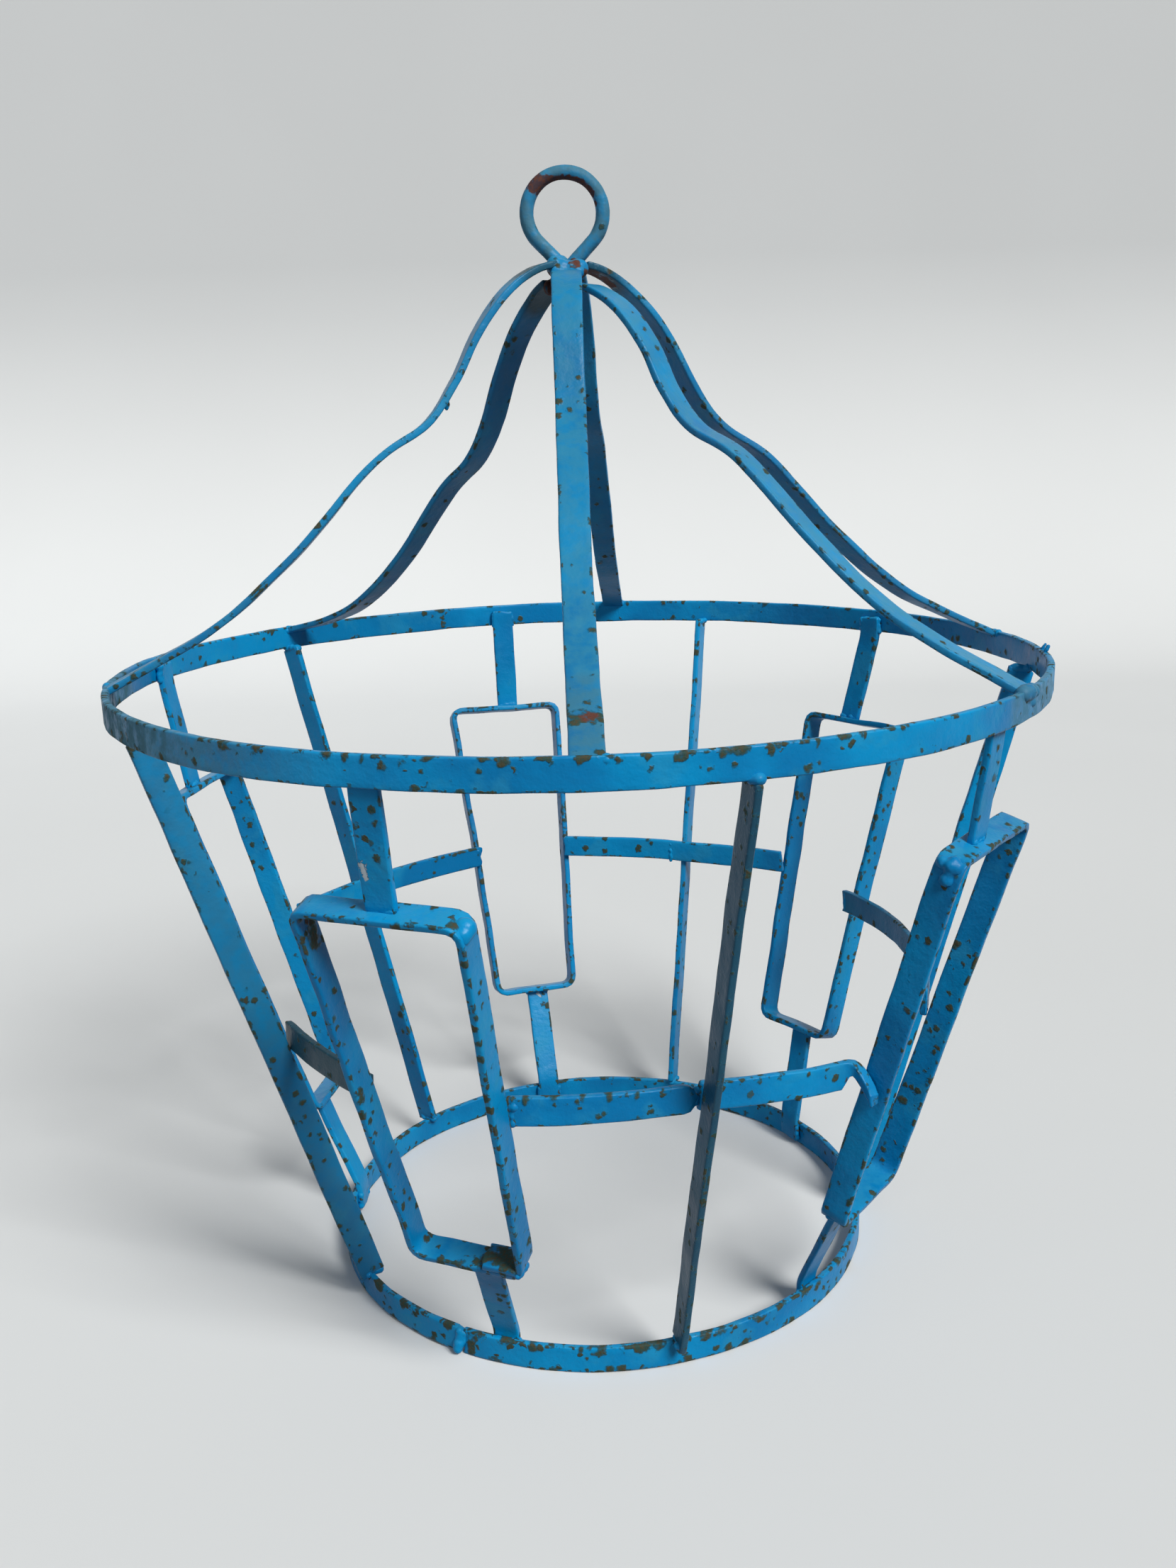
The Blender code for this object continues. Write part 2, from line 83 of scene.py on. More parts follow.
# Wear on the frames, in rows: layer, first place (x, y up from the foot), step to the next, how
# many, depth in from the outer edge, radius, strength
FRAME_WEAR = {
    "front_left": (
        ("rust", (-0.0275, 0.1435), (0.0, -0.004), 4, 0.006, 0.0060, 0.9),
        ("red", (-0.0275, 0.1435), (0.0, -0.004), 2, 0.006, 0.0040, 0.5),
        ("rust", (0.0260, 0.1465), (0.0, 0.0), 1, 0.003, 0.0045, 0.8),
        ("rust", (0.0, 0.1465), (0.0, 0.0), 1, 0.002, 0.0070, 0.5),
        ("rust", (0.0256, 0.1325), (-0.0004, -0.011), 11, 0.001, 0.0024, 0.8),
        ("rust", (-0.0250, 0.1035), (0.0005, -0.010), 9, 0.004, 0.0065, 0.42),
        ("rust", (0.0080, 0.0020), (0.004, 0.0), 3, 0.005, 0.0070, 0.9),
        ("rust", (-0.0100, 0.0010), (0.008, 0.0), 3, 0.001, 0.0040, 0.8),
    ),
    "front_right": (
        ("rust", (-0.0260, 0.1455), (0.0, 0.0), 1, 0.002, 0.0060, 0.8),
        ("rust", (-0.0190, 0.0020), (0.0, 0.004), 4, 0.0012, 0.0032, 1.0),
        ("rust", (-0.0214, 0.0240), (-0.0007, 0.012), 9, 0.004, 0.0050, 0.35),
        ("rust", (0.0200, 0.0), (0.0007, 0.011), 9, 0.004, 0.0070, 0.45),
    ),
    "back_right": (("rust", (-0.0200, 0.0), (-0.0009, 0.014), 10, 0.006, 0.0060, 0.45),),
}
# Wear on the tabs and legs: layer, shares of the way down, offset to the side, radius, strength
PLATE_WEAR = {
    "tab_front_left": (
        ("chip", (0.66,), -0.0036, 0.0030, 1.0),
        ("chip", (0.70,), -0.0030, 0.0030, 1.0),
        ("chip", (0.74,), -0.0022, 0.0030, 1.0),
        ("rust", (0.2, 0.3, 0.4, 0.5), -0.0042, 0.0030, 0.8),
    ),
    "tab_left": (("rust", (0.45,), 0.0, 0.0050, 0.8),),
    "leg_back_left": (("chip", (0.04,), 0.0, 0.0028, 1.0),),
}

# Uprights: bearing of the top, bearing of the foot, how much further out it stands
UPRIGHT_TOP_R, UPRIGHT_FOOT_R = 0.1755, 0.1120
UPRIGHTS = {
    "front": (16.2, 14.0, 0.0),
    "right": (89.2, 88.6, 0.0010),
    "back": (159.3, 160.0, 0.0),
    "back_left": (-127.8, -129.5, 0.0),
    "left": (-57.6, -58.1, 0.0),
}

# frame (or none, if it starts at the upright), upright, frame; height of the middle; degrees it
# runs on past the second frame's bar; how much higher its first end is
TIES = {
    "right": ("front_right", "right", "back_right", 0.1137, 0.8, 0.0070),
    "back": ("back_right", "back", "back_left", 0.1225, 0.0, 0.0),
    "back_left": ("back_left", "back_left", "left", 0.1220, 0.0, 0.0),
    "left": (None, "left", "front_left", 0.1160, -2.3, 0.0),
}
TIE_LAP = 1.7  # degrees that a tie that starts at an upright starts before it
TIE_PAST = 0.4  # degrees that a tie runs past the middle of a frame's bar
TIE_STEPS = 24
FRONT_TIE_Z, FRONT_TIE_FALL = 0.1170, 0.0045
FRONT_TIE_STEPS = 18
FOLD_R, FOLD_REACH = 0.0040, 0.0065
FOLD_SHORT = 0.10  # radians that the fold stops short of a right angle
FOLD_GAP = 0.0003  # between the fold and the frame that it lies along
FACE_AT_R, STOP_AT_R = 0.136, 0.133  # distance from the axis of the fold's flat and of its start
CURL_FALL = 0.0090  # how far the narrowed end of the fold runs down

# Crown: bearing at the hub, bearing at the rim, drop at the hub, sag at half its reach, and the
# degrees that the strap's flat is twisted by at half its reach
CROWN_SHIFT = Vector((-0.0008, -0.0011, 0.0))
HUB_R = 0.0060
NECK_Z = 0.3819
# the beads of the hub, from the neck's middle: start, end, radius
HUB_LUMPS = (
    ((0.0, 0.0, -0.0100), (0.0, 0.0, -0.0030), 0.0046),
    ((-0.0034, -0.0050, 0.0006), (0.0032, -0.0050, 0.0004), 0.0031),
    ((-0.0036, -0.0072, -0.0010), (0.0034, -0.0072, -0.0012), 0.0024),
    ((-0.0030, -0.0012, 0.0016), (-0.0034, -0.0042, 0.0004), 0.0032),
    ((0.0030, -0.0010, 0.0012), (0.0034, -0.0038, -0.0004), 0.0031),
    ((-0.0030, 0.0012, -0.0036), (-0.0058, 0.0022, -0.0056), 0.0027),
)
STRAP_W_HUB = 0.0110
STRAPS = {
    "front": (0.0, 0.8, 0.0035, 0.0, 0.0),
    "front_right": (48.0, 56.5, 0.0079, -0.0005, 0.0),
    "back_right": (107.0, 101.7, 0.0, 0.0034, 26.0),
    "back": (172.8, 174.5, 0.0, 0.0, 0.0),
    "back_left": (-139.0, -129.2, 0.0050, 0.0125, 0.0),
    "left": (-59.3, -75.6, 0.0, 0.0, -18.0),
}
OGEE = (
    (0.0000, 0.3845),
    (0.0130, 0.3820),
    (0.0260, 0.3730),
    (0.0365, 0.3595),
    (0.0455, 0.3425),
    (0.0560, 0.3290),
    (0.0755, 0.3160),
    (0.1050, 0.2850),
    (0.1330, 0.2610),
    (0.1715, 0.2400),
)

EYE_MID_R, EYE_CENTRE_Z = 0.0137, 0.4014
EYE_TAIL_DROP = 0.0190
EYE_SIDE_STEP = 0.0012  # half the offset between the rod's two ends
EYE_OPENING = 45.0  # degrees from the bottom at which the ring leaves its circle
EYE_STEPS = 110
EYE_DENT = 0.00012

# Welds: how far a lump strays from its place and its size, as a share of its radius
WELD_STRAY, WELD_STRETCH = 0.26, 0.20
WELD_DENT = 0.00022
FINE_VOXEL = 0.00040

UP = Vector((0.0, 0.0, 1.0))


# --- places


def out_at(bearing):
    a = math.radians(bearing)
    return Vector((math.sin(a), -math.cos(a), 0.0))


def side_at(bearing):
    a = math.radians(bearing)
    return Vector((math.cos(a), math.sin(a), 0.0))


def place(bearing, r, z, aside=0.0):
    """A point of the wall, which leans over so that the base's centre is off the rim's."""
    shift = BASE_SHIFT * (1.0 - min(z / RIM_TOP, 1.0))
    return out_at(bearing) * r + side_at(bearing) * aside + UP * z + shift


def oval(radius, share, long_bearing, bearing):
    return radius * (1.0 + share * math.cos(2 * math.radians(bearing - long_bearing)))


def rim_r(bearing):
    return oval(RIM_R, RIM_OVAL, RIM_LONG, bearing)


def base_r(bearing):
    return oval(BASE_R, BASE_OVAL, BASE_LONG, bearing)


def unwrap(bearing, near):
    while bearing < near - 180:
        bearing += 360
    while bearing > near + 180:
        bearing -= 360
    return bearing


def rounded(points, radius, steps=5):
    """The path with each inner corner replaced by a short curve that starts radius before it."""
    path = [points[0]]
    for a, b, c in zip(points, points[1:], points[2:]):
        start = b + (a - b).normalized() * min(radius, (a - b).length * 0.45)
        stop = b + (c - b).normalized() * min(radius, (c - b).length * 0.45)
        for i in range(steps + 1):
            t = i / steps
            path.append(start.lerp(b, t).lerp(b.lerp(stop, t), t))
    path.append(points[-1])
    return path


def spaced(points, wides, step=STEP):
    """The path and its wide vectors again, about evenly spaced, as (points, wides)."""
    run = [0.0]
    for p, q in zip(points, points[1:]):
        run.append(run[-1] + (q - p).length)
    count = max(4, round(run[-1] / step))
    out_points, out_wides, k = [], [], 1
    for i in range(count + 1):
        want = run[-1] * i / count
        while k < len(run) - 1 and run[k] < want:
            k += 1
        share = (want - run[k - 1]) / max(run[k] - run[k - 1], 1e-9)
        out_points.append(points[k - 1].lerp(points[k], share))
        out_wides.append(wides[k - 1].lerp(wides[k], share))
    return out_points, out_wides


# --- sweeping a bar


def section(half_w, half_t):
    """Points round the bar's section as (wide, thin, wide normal, thin normal, edge)."""
    c = min(EASED, half_w * 0.4, half_t * 0.8)
    inner = max(half_w - c - EDGE_BAND, half_w * 0.35)
    ring = []
    for turn, (sw, st) in enumerate(((1, 1), (-1, 1), (-1, -1), (1, -1))):
        if turn % 2 == 0:
            ring.append((sw * half_w, 0.0, sw, 0.0, 0.55))  # the middle of a narrow face
        for i in range(4):
            a = math.pi / 2 * (turn + i / 3)
            nw, nt = math.cos(a), math.sin(a)
            ring.append((sw * (half_w - c) + c * nw, st * (half_t - c) + c * nt, nw, nt, 1.0))
        if turn % 2 == 0:
            ring += [(sw * w, st * half_t, 0.0, st, 0.0) for w in (inner, 0.0, -inner)]
    return ring


def waves(seed, closed, length):
    """A slow wander along the bar, from -1 to 1, that meets itself on a closed bar."""
    rng = noise.random_vector
    noise.seed_set(seed + 1)
    terms = []
    for wavelength, share in ((0.110, 0.5), (0.047, 0.3), (0.023, 0.2)):
        turns = length / wavelength
        if closed:
            turns = max(1, round(turns))
        terms.append((turns, share, rng().x * math.pi))
    return lambda t: sum(s * math.sin(math.tau * n * t + p) for n, s, p in terms)


def add_piece(name, bm):
    mesh = bpy.data.meshes.new(name)
    bm.to_mesh(mesh)
    bm.free()
    mesh.shade_smooth()
    obj = bpy.data.objects.new(name, mesh)
    bpy.context.scene.collection.objects.link(obj)
    return obj


def skin(name, bm, rings, closed=False):
    """A closed surface through rings of vertices."""
    pairs = list(zip(rings, rings[1:]))
    if closed:
        pairs.append((rings[-1], rings[0]))
    else:
        bm.faces.new(rings[0])
        bm.faces.new(list(reversed(rings[-1])))
    size = len(rings[0])
    for near, far in pairs:
        for i in range(size):
            j = (i + 1) % size
            bm.faces.new((near[i], far[i], far[j], near[j]))
    bmesh.ops.recalc_face_normals(bm, faces=bm.faces[:])
    return add_piece(name, bm)


def dent(point, normal, amount):
    """How far the hammered and painted surface stands off its true place."""
    slow = noise.noise(point * 130.0)
    fast = noise.noise(point * 420.0 + Vector((7.0, 3.0, 1.0)))
    return normal * (amount * (slow + 0.45 * fast))


def same(_):
    return 1.0


def sweep(name, points, wides, width=BAR_W, closed=False, seed=0, bow=0.00025, ragged=0.0003,
          widths=same, drift=None, thicks=same):
    """A painted bar along points, with its wide side along wides. It wanders by bow, and its cut
    ends are rough by ragged. From 0 to 1 along it, its width may vary by widths(t), its thickness
    by thicks(t), and it may stray widthways by drift(t)."""
    count = len(points)
    length = sum((q - p).length for p, q in zip(points, points[1:]))
    across, through, swell = (waves(seed * 3 + k, closed, length) for k in range(3))
    stations = []
    for i, point in enumerate(points):
        before = points[i - 1] if i or closed else point
        after = points[(i + 1) % count] if i + 1 < count or closed else point
        along = (after - before).normalized()
        thin = wides[i].cross(along).normalized()
        wide = along.cross(thin).normalized()
        t = i / count
        centre = point + thin * (bow * across(t)) + wide * (bow * 0.6 * through(t))
        share = i / (count - 1)
        half_w = width / 2 * (1.0 + SWELL * swell(t)) * widths(share)
        if drift:
            centre = centre + wide * drift(share)
        stations.append((centre, wide, thin, along, half_w, BAR_T / 2 * thicks(share)))

    bm = bmesh.new()
    edge_layer = bm.verts.layers.float.new("edge")

    def add_ring(centre, wide, thin, along, half_w, half_t, push=0.0):
        ring = []
        for w, s, nw, ns, edge in section(half_w, half_t):
            at = centre + wide * w + thin * s
            normal = wide * nw + thin * ns
            at = at + dent(at, normal, BAR_DENT)
            if push:
                at = at + along * (push * ragged * noise.noise(at * RAGGED_SCALE))
            vert = bm.verts.new(at)
            vert[edge_layer] = edge
            ring.append(vert)
        return ring

    end_r = min(EASED, BAR_T * 0.35)

    def cap(station, direction):
        """The last few rings of an end, drawn in to round its edge over."""
        centre, wide, thin, along, half_w, half_t = station
        cap_rings = []
        for angle in (0.0, 35.0, 65.0, 90.0):
            a = math.radians(angle)
            inset = end_r * (1.0 - math.cos(a))
            at = centre + along * (direction * end_r * (math.sin(a) - 1.0))
            ring = add_ring(at, wide, thin, along, half_w - inset, half_t - inset, 1.0)
            for vert in ring:
                vert[edge_layer] = max(vert[edge_layer], 0.8 if angle else 0.6)
            cap_rings.append(ring)
        return cap_rings

    if closed:
        rings = [add_ring(*station) for station in stations]
    else:
        rings = list(reversed(cap(stations[0], -1)))
        rings += [add_ring(*station) for station in stations[1:-1]]
        rings += cap(stations[-1], 1)
    return skin(name, bm, rings, closed)


# --- the lines that the bars follow


def hoop_path(radius_at, mid_z, start, stop, count):
    """Centre line of a hoop from bearing start to stop, as (points, wides)."""
    points = []
    for i in range(count):
        b = start + (stop - start) * i / (count - 1)
        points.append(place(b, radius_at(b) - BAR_T / 2, mid_z))
    return points, [UP] * count


def window_axes(lower, higher, aside=0.0):
    foot = Vector((aside, -WINDOW_BOTTOM_R, WINDOW_BOTTOM - lower))
    head = Vector((0.0, -WINDOW_TOP_R, WINDOW_TOP + higher))
    up = (head - foot).normalized()
    return foot, head, up, Vector((1.0, 0.0, 0.0)).cross(up).normalized()


def to_world(bearing, local):
    turned = Matrix.Rotation(math.radians(bearing), 3, "Z") @ local
    return turned + BASE_SHIFT * (1.0 - min(local.z / RIM_TOP, 1.0))


def window_path(bearing, wider, lower, higher, aside):
    """Centre line of a frame, once round from the middle of its foot, as (points, wides)."""
    foot, head, up, out = window_axes(lower, higher, aside)
    height = (head - foot).length
    mid = BAR_T / 2
    top, low = WINDOW_TOP_HALF + wider - mid, WINDOW_BOTTOM_HALF + wider - mid
    plan = [(0, mid), (low, mid), (top, height - mid), (-top, height - mid), (-low, mid), (0, mid)]
    corners = [foot + Vector((x, 0.0, 0.0)) + up * y - out * (BAR_W / 2) for x, y in plan]
    path = rounded(corners, WINDOW_CORNER_R - mid, 6)
    turn = Matrix.Rotation(math.radians(bearing), 3, "Z")
    points, wides = spaced([to_world(bearing, p) for p in path], [turn @ out] * len(path))
    return points[:-1], wides[:-1]


def plate_path(stations):
    """A strip through (bearing, r, z) stations, its wide side level, as (points, wides)."""
    points = rounded([place(b, r, z) for b, r, z in stations], PLATE_BEND_R)
    first, last = side_at(stations[0][0]), side_at(stations[-1][0])
    wides = [first.lerp(last, i / (len(points) - 1)) for i in range(len(points))]
    return spaced(points, wides)


def tab_path(bearings, lower, higher):
    top_at, end_at = bearings
    _, head, up, out = window_axes(lower, higher)
    lap = rim_r(top_at) - BAR_T * 1.5 - LAP_GAP
    end = head - out * (BAR_W / 2) - up * SINK
    return plate_path(
        [(top_at, lap, TAB_TOP), (top_at, lap, RIM_TOP - BAR_W - 0.001), (end_at, -end.y, end.z)]
    )


def leg_path(bearings, lower, higher):
    top_at, foot_at = bearings
    foot, _, up, out = window_axes(lower, higher)
    lap = base_r(foot_at) - BAR_T * 1.5 - LAP_GAP
    start = foot - out * (BAR_W / 2) + up * SINK
    return plate_path(
        [(top_at, -start.y, start.z), (foot_at, lap, BAR_W + 0.0015), (foot_at, lap, LEG_FOOT)]
    )


def upright_path(top_at, foot_at, further):
    span = BAR_W / 2 * 1.04 - further
    top_z, foot_z = RIM_TOP - BAR_W + SINK, BAR_W - SINK
    ends = [(foot_at, UPRIGHT_FOOT_R - span, foot_z), (top_at, UPRIGHT_TOP_R - span, top_z)]
    points = [place(*end) for end in ends]
    wides = [out_at(foot_at), out_at(top_at)]
    return spaced(points, wides, 0.004)


def window_inner_r(z):
    """Distance and bearing, from a frame's middle, of the inner edge of its side bar."""
    lean = (WINDOW_TOP_R - WINDOW_BOTTOM_R) / (WINDOW_TOP - WINDOW_BOTTOM)
    share = (z - WINDOW_BOTTOM) / (WINDOW_TOP - WINDOW_BOTTOM)
    half = WINDOW_BOTTOM_HALF + share * (WINDOW_TOP_HALF - WINDOW_BOTTOM_HALF)
    flat = WINDOW_BOTTOM_R + lean * (z - WINDOW_BOTTOM) - BAR_W * math.hypot(1.0, lean)
    return math.hypot(flat, half - BAR_T), math.degrees(math.atan2(half - BAR_T / 2, flat))


def upright_inner_r(z):
    lean = (UPRIGHT_TOP_R - UPRIGHT_FOOT_R) / (RIM_TOP - 2 * BAR_W)
    return UPRIGHT_FOOT_R + lean * (z - BAR_W) - BAR_W * math.hypot(1.0, lean)


def tie_r(bearing, middle, half_span, mid_z, further=0.0):
    """Nearest the axis at the upright, further out at the frames."""
    low = mid_z - BAR_W / 2
    at_frame = window_inner_r(low)[0] - BAR_T / 2
    at_upright = upright_inner_r(low) + further - BAR_T / 2
    share = min(abs(bearing - middle) / half_span, 1.0)
    return at_upright + (at_frame - at_upright) * share * share


def bar_bearing(name, z, hand):
    """Bearing of the middle of a frame's side bar at a height: hand is -1 or 1."""
    bearing, _, _, wider, _, _, aside = WINDOWS[name]
    share = (z - WINDOW_BOTTOM) / (WINDOW_TOP - WINDOW_BOTTOM)
    r, off = window_inner_r(z)
    shift = hand * wider + aside * (1.0 - share)
    return bearing + hand * off + math.degrees(shift / r)


def tie_path(first, middle, last, mid_z, run_past, rise):
    """From one frame's side bar, or from the upright, to the next frame's."""
    mid = UPRIGHTS[middle][0]
    start = unwrap(bar_bearing(first, mid_z, 1), mid) - TIE_PAST if first else mid - TIE_LAP
    end = unwrap(bar_bearing(last, mid_z, -1), mid) + TIE_PAST + run_past
    further = UPRIGHTS[middle][2]
    points = []
    for i in range(TIE_STEPS + 1):
        b = start + (end - start) * i / TIE_STEPS
        half = mid - start if first and b < mid else end - mid
        z = mid_z + rise * (1.0 - i / TIE_STEPS)
        points.append(place(b, tie_r(b, mid, half, z, further), z))
    return spaced(points, [UP] * len(points))


def front_tie_paths():
    """The two lengths of the front tie. The right one ends in a fold against the next frame."""
    mid = sum(UPRIGHTS["front"][:2]) / 2
    start = bar_bearing("front_left", FRONT_TIE_Z, 1) - 0.6
    end = bar_bearing("front_right", FRONT_TIE_Z, -1) + 0.1
    half = max(mid - start, end - mid)
    z = FRONT_TIE_Z

    def run(first, last, fall):
        points = []
        for i in range(FRONT_TIE_STEPS + 1):
            b = first + (last - first) * i / FRONT_TIE_STEPS
            points.append(place(b, tie_r(b, mid, half, z), z - fall * i / FRONT_TIE_STEPS))
        return points

    left = run(start, mid - 0.6, 0.0006)
    face = end - math.degrees((BAR_T + FOLD_GAP) / FACE_AT_R)
    stop = face - math.degrees(FOLD_R / STOP_AT_R)
    right = run(mid - 0.2, stop, FRONT_TIE_FALL)
    along = (right[-1] - right[-2]).normalized()
    out = along.cross(UP)
    pivot = right[-1] + out * FOLD_R
    for i in range(1, 9):
        a = (math.pi / 2 - FOLD_SHORT) * i / 8
        right.append(pivot + (along * math.sin(a) - out * math.cos(a)) * FOLD_R)
    ray = (right[-1] - right[-2]).normalized()
    right.append(right[-1] + ray * FOLD_REACH)
    return spaced(left, [UP] * len(left)), spaced(right, [UP] * len(right), 0.0015)


def ogee_points():
    """A smooth curve through OGEE, as (radius, height) pairs."""
    knots = [Vector(p) for p in OGEE]
    knots = [2 * knots[0] - knots[1]] + knots + [2 * knots[-1] - knots[-2]]
    fine = []
    for a, b, c, d in zip(knots, knots[1:], knots[2:], knots[3:]):
        for i in range(12):
            t = i / 12
            linear, square = (c - a) * t, (2 * a - 5 * b + 4 * c - d) * t**2
            fine.append(0.5 * (2 * b + linear + square + (3 * b - a - 3 * c + d) * t**3))
    fine.append(knots[-2])
    return [p for p in fine if p.x >= HUB_R]


def strap_path(hub_bearing, rim_bearing, drop, sag, turn):
    """The ogee from the hub to the rim, as (points, wides)."""
    end_r = rim_r(rim_bearing) - BAR_T * 0.6
    points, wides = [], []
    for p in ogee_points():
        share = (p.x - HUB_R) / (OGEE[-1][0] - HUB_R)
        r = p.x + (end_r - OGEE[-1][0]) * share
        z = p.y - drop * (1 - share) ** 2 - 4 * sag * share * (1 - share)
        b = hub_bearing + (rim_bearing - hub_bearing) * share
        points.append(out_at(b) * r + CROWN_SHIFT * (1 - share) + UP * z)
        wides.append(side_at(b + turn * 4 * share * (1 - share)))
    return spaced(points, wides)


# --- welds


def weld(name, runs, voxel=0.00045):
    """Lumps of painted weld. Each run is (points, radius): a bead laid from point to point."""
    bm = bmesh.new()
    noise.seed_set(len(name) + len(runs))
    for points, radius in runs:
        spots = []
        for p, q in zip(points, points[1:]):
            steps = max(1, round((q - p).length / (radius * 0.8)))
            spots += [p.lerp(q, i / steps) for i in range(steps)]
        spots.append(points[-1])
        for spot in spots:
            jitter = noise.random_vector()
            size = radius * (1.0 + WELD_STRAY * jitter.z)
            at = Matrix.Translation(spot + jitter * (radius * WELD_STRAY))
            stretched = [1 + WELD_STRETCH * v for v in jitter.xy] + [1.0, 1.0]
            shape = Matrix.Diagonal(stretched)
            bmesh.ops.create_icosphere(bm, subdivisions=2, radius=size, matrix=at @ shape)
    obj = add_piece(name, bm)
    remesh = obj.modifiers.new("lumps", "REMESH")
    remesh.mode = "VOXEL"
    remesh.voxel_size = voxel
    remesh.use_smooth_shade = True
    ease = obj.modifiers.new("ease", "SMOOTH")
    ease.factor = 0.5
    ease.iterations = 6
    graph = bpy.context.evaluated_depsgraph_get()
    mesh = bpy.data.meshes.new_from_object(obj.evaluated_get(graph), depsgraph=graph)
    obj.modifiers.clear()
    obj.data = mesh
    for vert, normal in zip(mesh.vertices, [v.normal.copy() for v in mesh.vertices]):
        vert.co += dent(vert.co, normal, WELD_DENT)
    edge = mesh.attributes.new("edge", "FLOAT", "POINT")
    edge.data.foreach_set("value", [0.25] * len(mesh.vertices))
    return obj


# --- marks of wear


def mark(obj, marks):
    """Rust, wear, chips, greying and painted shade at chosen places: marks is [(layer, point,
    radius, strength)].
    """
    mesh = obj.data
    for layer in ("rust", "red", "worn", "chip", "grey", "dim"):
        values = [0.0] * len(mesh.vertices)
        for kind, point, radius, strength in marks:
            if kind != layer:
                continue
            for i, vert in enumerate(mesh.vertices):
                near = 1.0 - (vert.co - point).length / radius
                if near > 0.0:
                    values[i] = max(values[i], strength * min(1.0, near * 2.0))
        data = mesh.attributes.new(layer, "FLOAT", "POINT")
        data.data.foreach_set("value", values)


# --- materials


def srgb(red, green, blue):
    """A linear colour from the usual 0 to 255 values."""
    def linear(v):
        v /= 255.0
        return v / 12.92 if v <= 0.04045 else ((v + 0.055) / 1.055) ** 2.4

    return (linear(red), linear(green), linear(blue), 1.0)


class Shading:
    """Builds one material: each method adds a node and returns its output."""

    def __init__(self, name):
        self.material = bpy.data.materials.new(name)
        self.material.use_nodes = True
        self.nodes = self.material.node_tree.nodes
        self.links = self.material.node_tree.links
        self.shader = self.nodes["Principled BSDF"]
        self.place = self.nodes.new("ShaderNodeTexCoord").outputs["Object"]

    def feed(self, socket, value):
        if isinstance(value, bpy.types.NodeSocket):
            self.links.new(value, socket)
        else:
            socket.default_value = value

    def node(self, kind, inputs=(), **settings):
        node = self.nodes.new(f"ShaderNode{kind}")
        for key, value in settings.items():
            setattr(node, key, value)
        for key, value in dict(inputs).items():
            self.feed(node.inputs[key], value)
        return node

    def sum(self, operation, a, b):
        return self.node("Math", {0: a, 1: b}, operation=operation).outputs[0]

    def noise(self, scale, detail=3.0, rough=0.55, offset=None, output="Fac"):
        inputs = {"Scale": scale, "Detail": detail, "Roughness": rough}
        inputs["Vector"] = self.moved(offset) if offset else self.place
        return self.node("TexNoise", inputs).outputs[output]

    def moved(self, offset, by=None, amount=0.0):
        """The place, shifted by offset and, when by is given, wobbled by that colour."""
        place = self.node("VectorMath", {0: self.place, 1: offset}, operation="ADD").outputs[0]
        if by is None:
            return place
        wobble = {0: by, 1: (amount,) * 3, 2: place}
        return self.node("VectorMath", wobble, operation="MULTIPLY_ADD").outputs[0]

    def cells(self, scale, vector):
        node = self.node("TexVoronoi", {"Scale": scale, "Vector": vector})
        return node.outputs["Distance"], node.outputs["Color"]

    def ramp(self, value, low, high, to_low=0.0, to_high=1.0):
        inputs = enumerate((value, low, high, to_low, to_high))
        return self.node("MapRange", inputs, interpolation_type="SMOOTHSTEP").outputs[0]

    def blend(self, share, a, b):
        return self.node("Mix", {"Factor": share, 6: a, 7: b}, data_type="RGBA").outputs[2]

    def attribute(self, name):
        return self.node("Attribute", attribute_name=name).outputs["Fac"]

    def facing_up(self):
        normal = self.node("NewGeometry").outputs["Normal"]
        return self.node("SeparateXYZ", {0: normal}).outputs["Z"]

    def bump(self, height, distance, under=None):
        inputs = {"Strength": 1.0, "Distance": distance, "Height": height}
        if under is not None:
            inputs["Normal"] = under
        return self.node("Bump", inputs).outputs[0]


AZURE = srgb(0, 146, 206)
AZURE_DEEP = srgb(0, 120, 180)
AZURE_PALE = srgb(52, 154, 190)
TEAL = srgb(26, 92, 116)
GREY_TEAL = srgb(72, 116, 132)
OLIVE = srgb(48, 76, 70)
RUST = srgb(72, 70, 52)
RUST_RED = srgb(98, 60, 50)
BARE = srgb(72, 56, 62)
CHIP = srgb(190, 200, 206)
# painted shade: the dark teal that the 'dim' layer blends in where shade falls
PAINTED_SHADE_TEAL = srgb(34, 62, 66)


# How much rust speckles the faces, how much the edges, how pale its tops are from dust and painted
# top light, how weathered
ENAMELS = {
    "hoop": (0.60, 1.0, 0.45, 0.0),
    "rim": (0.42, 0.6, 0.45, 0.0),
    "frame": (0.55, 0.7, 0.35, 0.0),
    "lug": (0.30, 0.5, 0.30, 0.0),
    "upright": (0.42, 0.8, 0.30, 0.0),
    "tie": (0.40, 0.6, 0.30, 0.0),
    "strap": (0.34, 0.5, 0.50, 0.0),
    "weld": (0.35, 0.3, 0.30, 0.0),
    "eye": (0.20, 0.2, 0.40, 0.85),
}


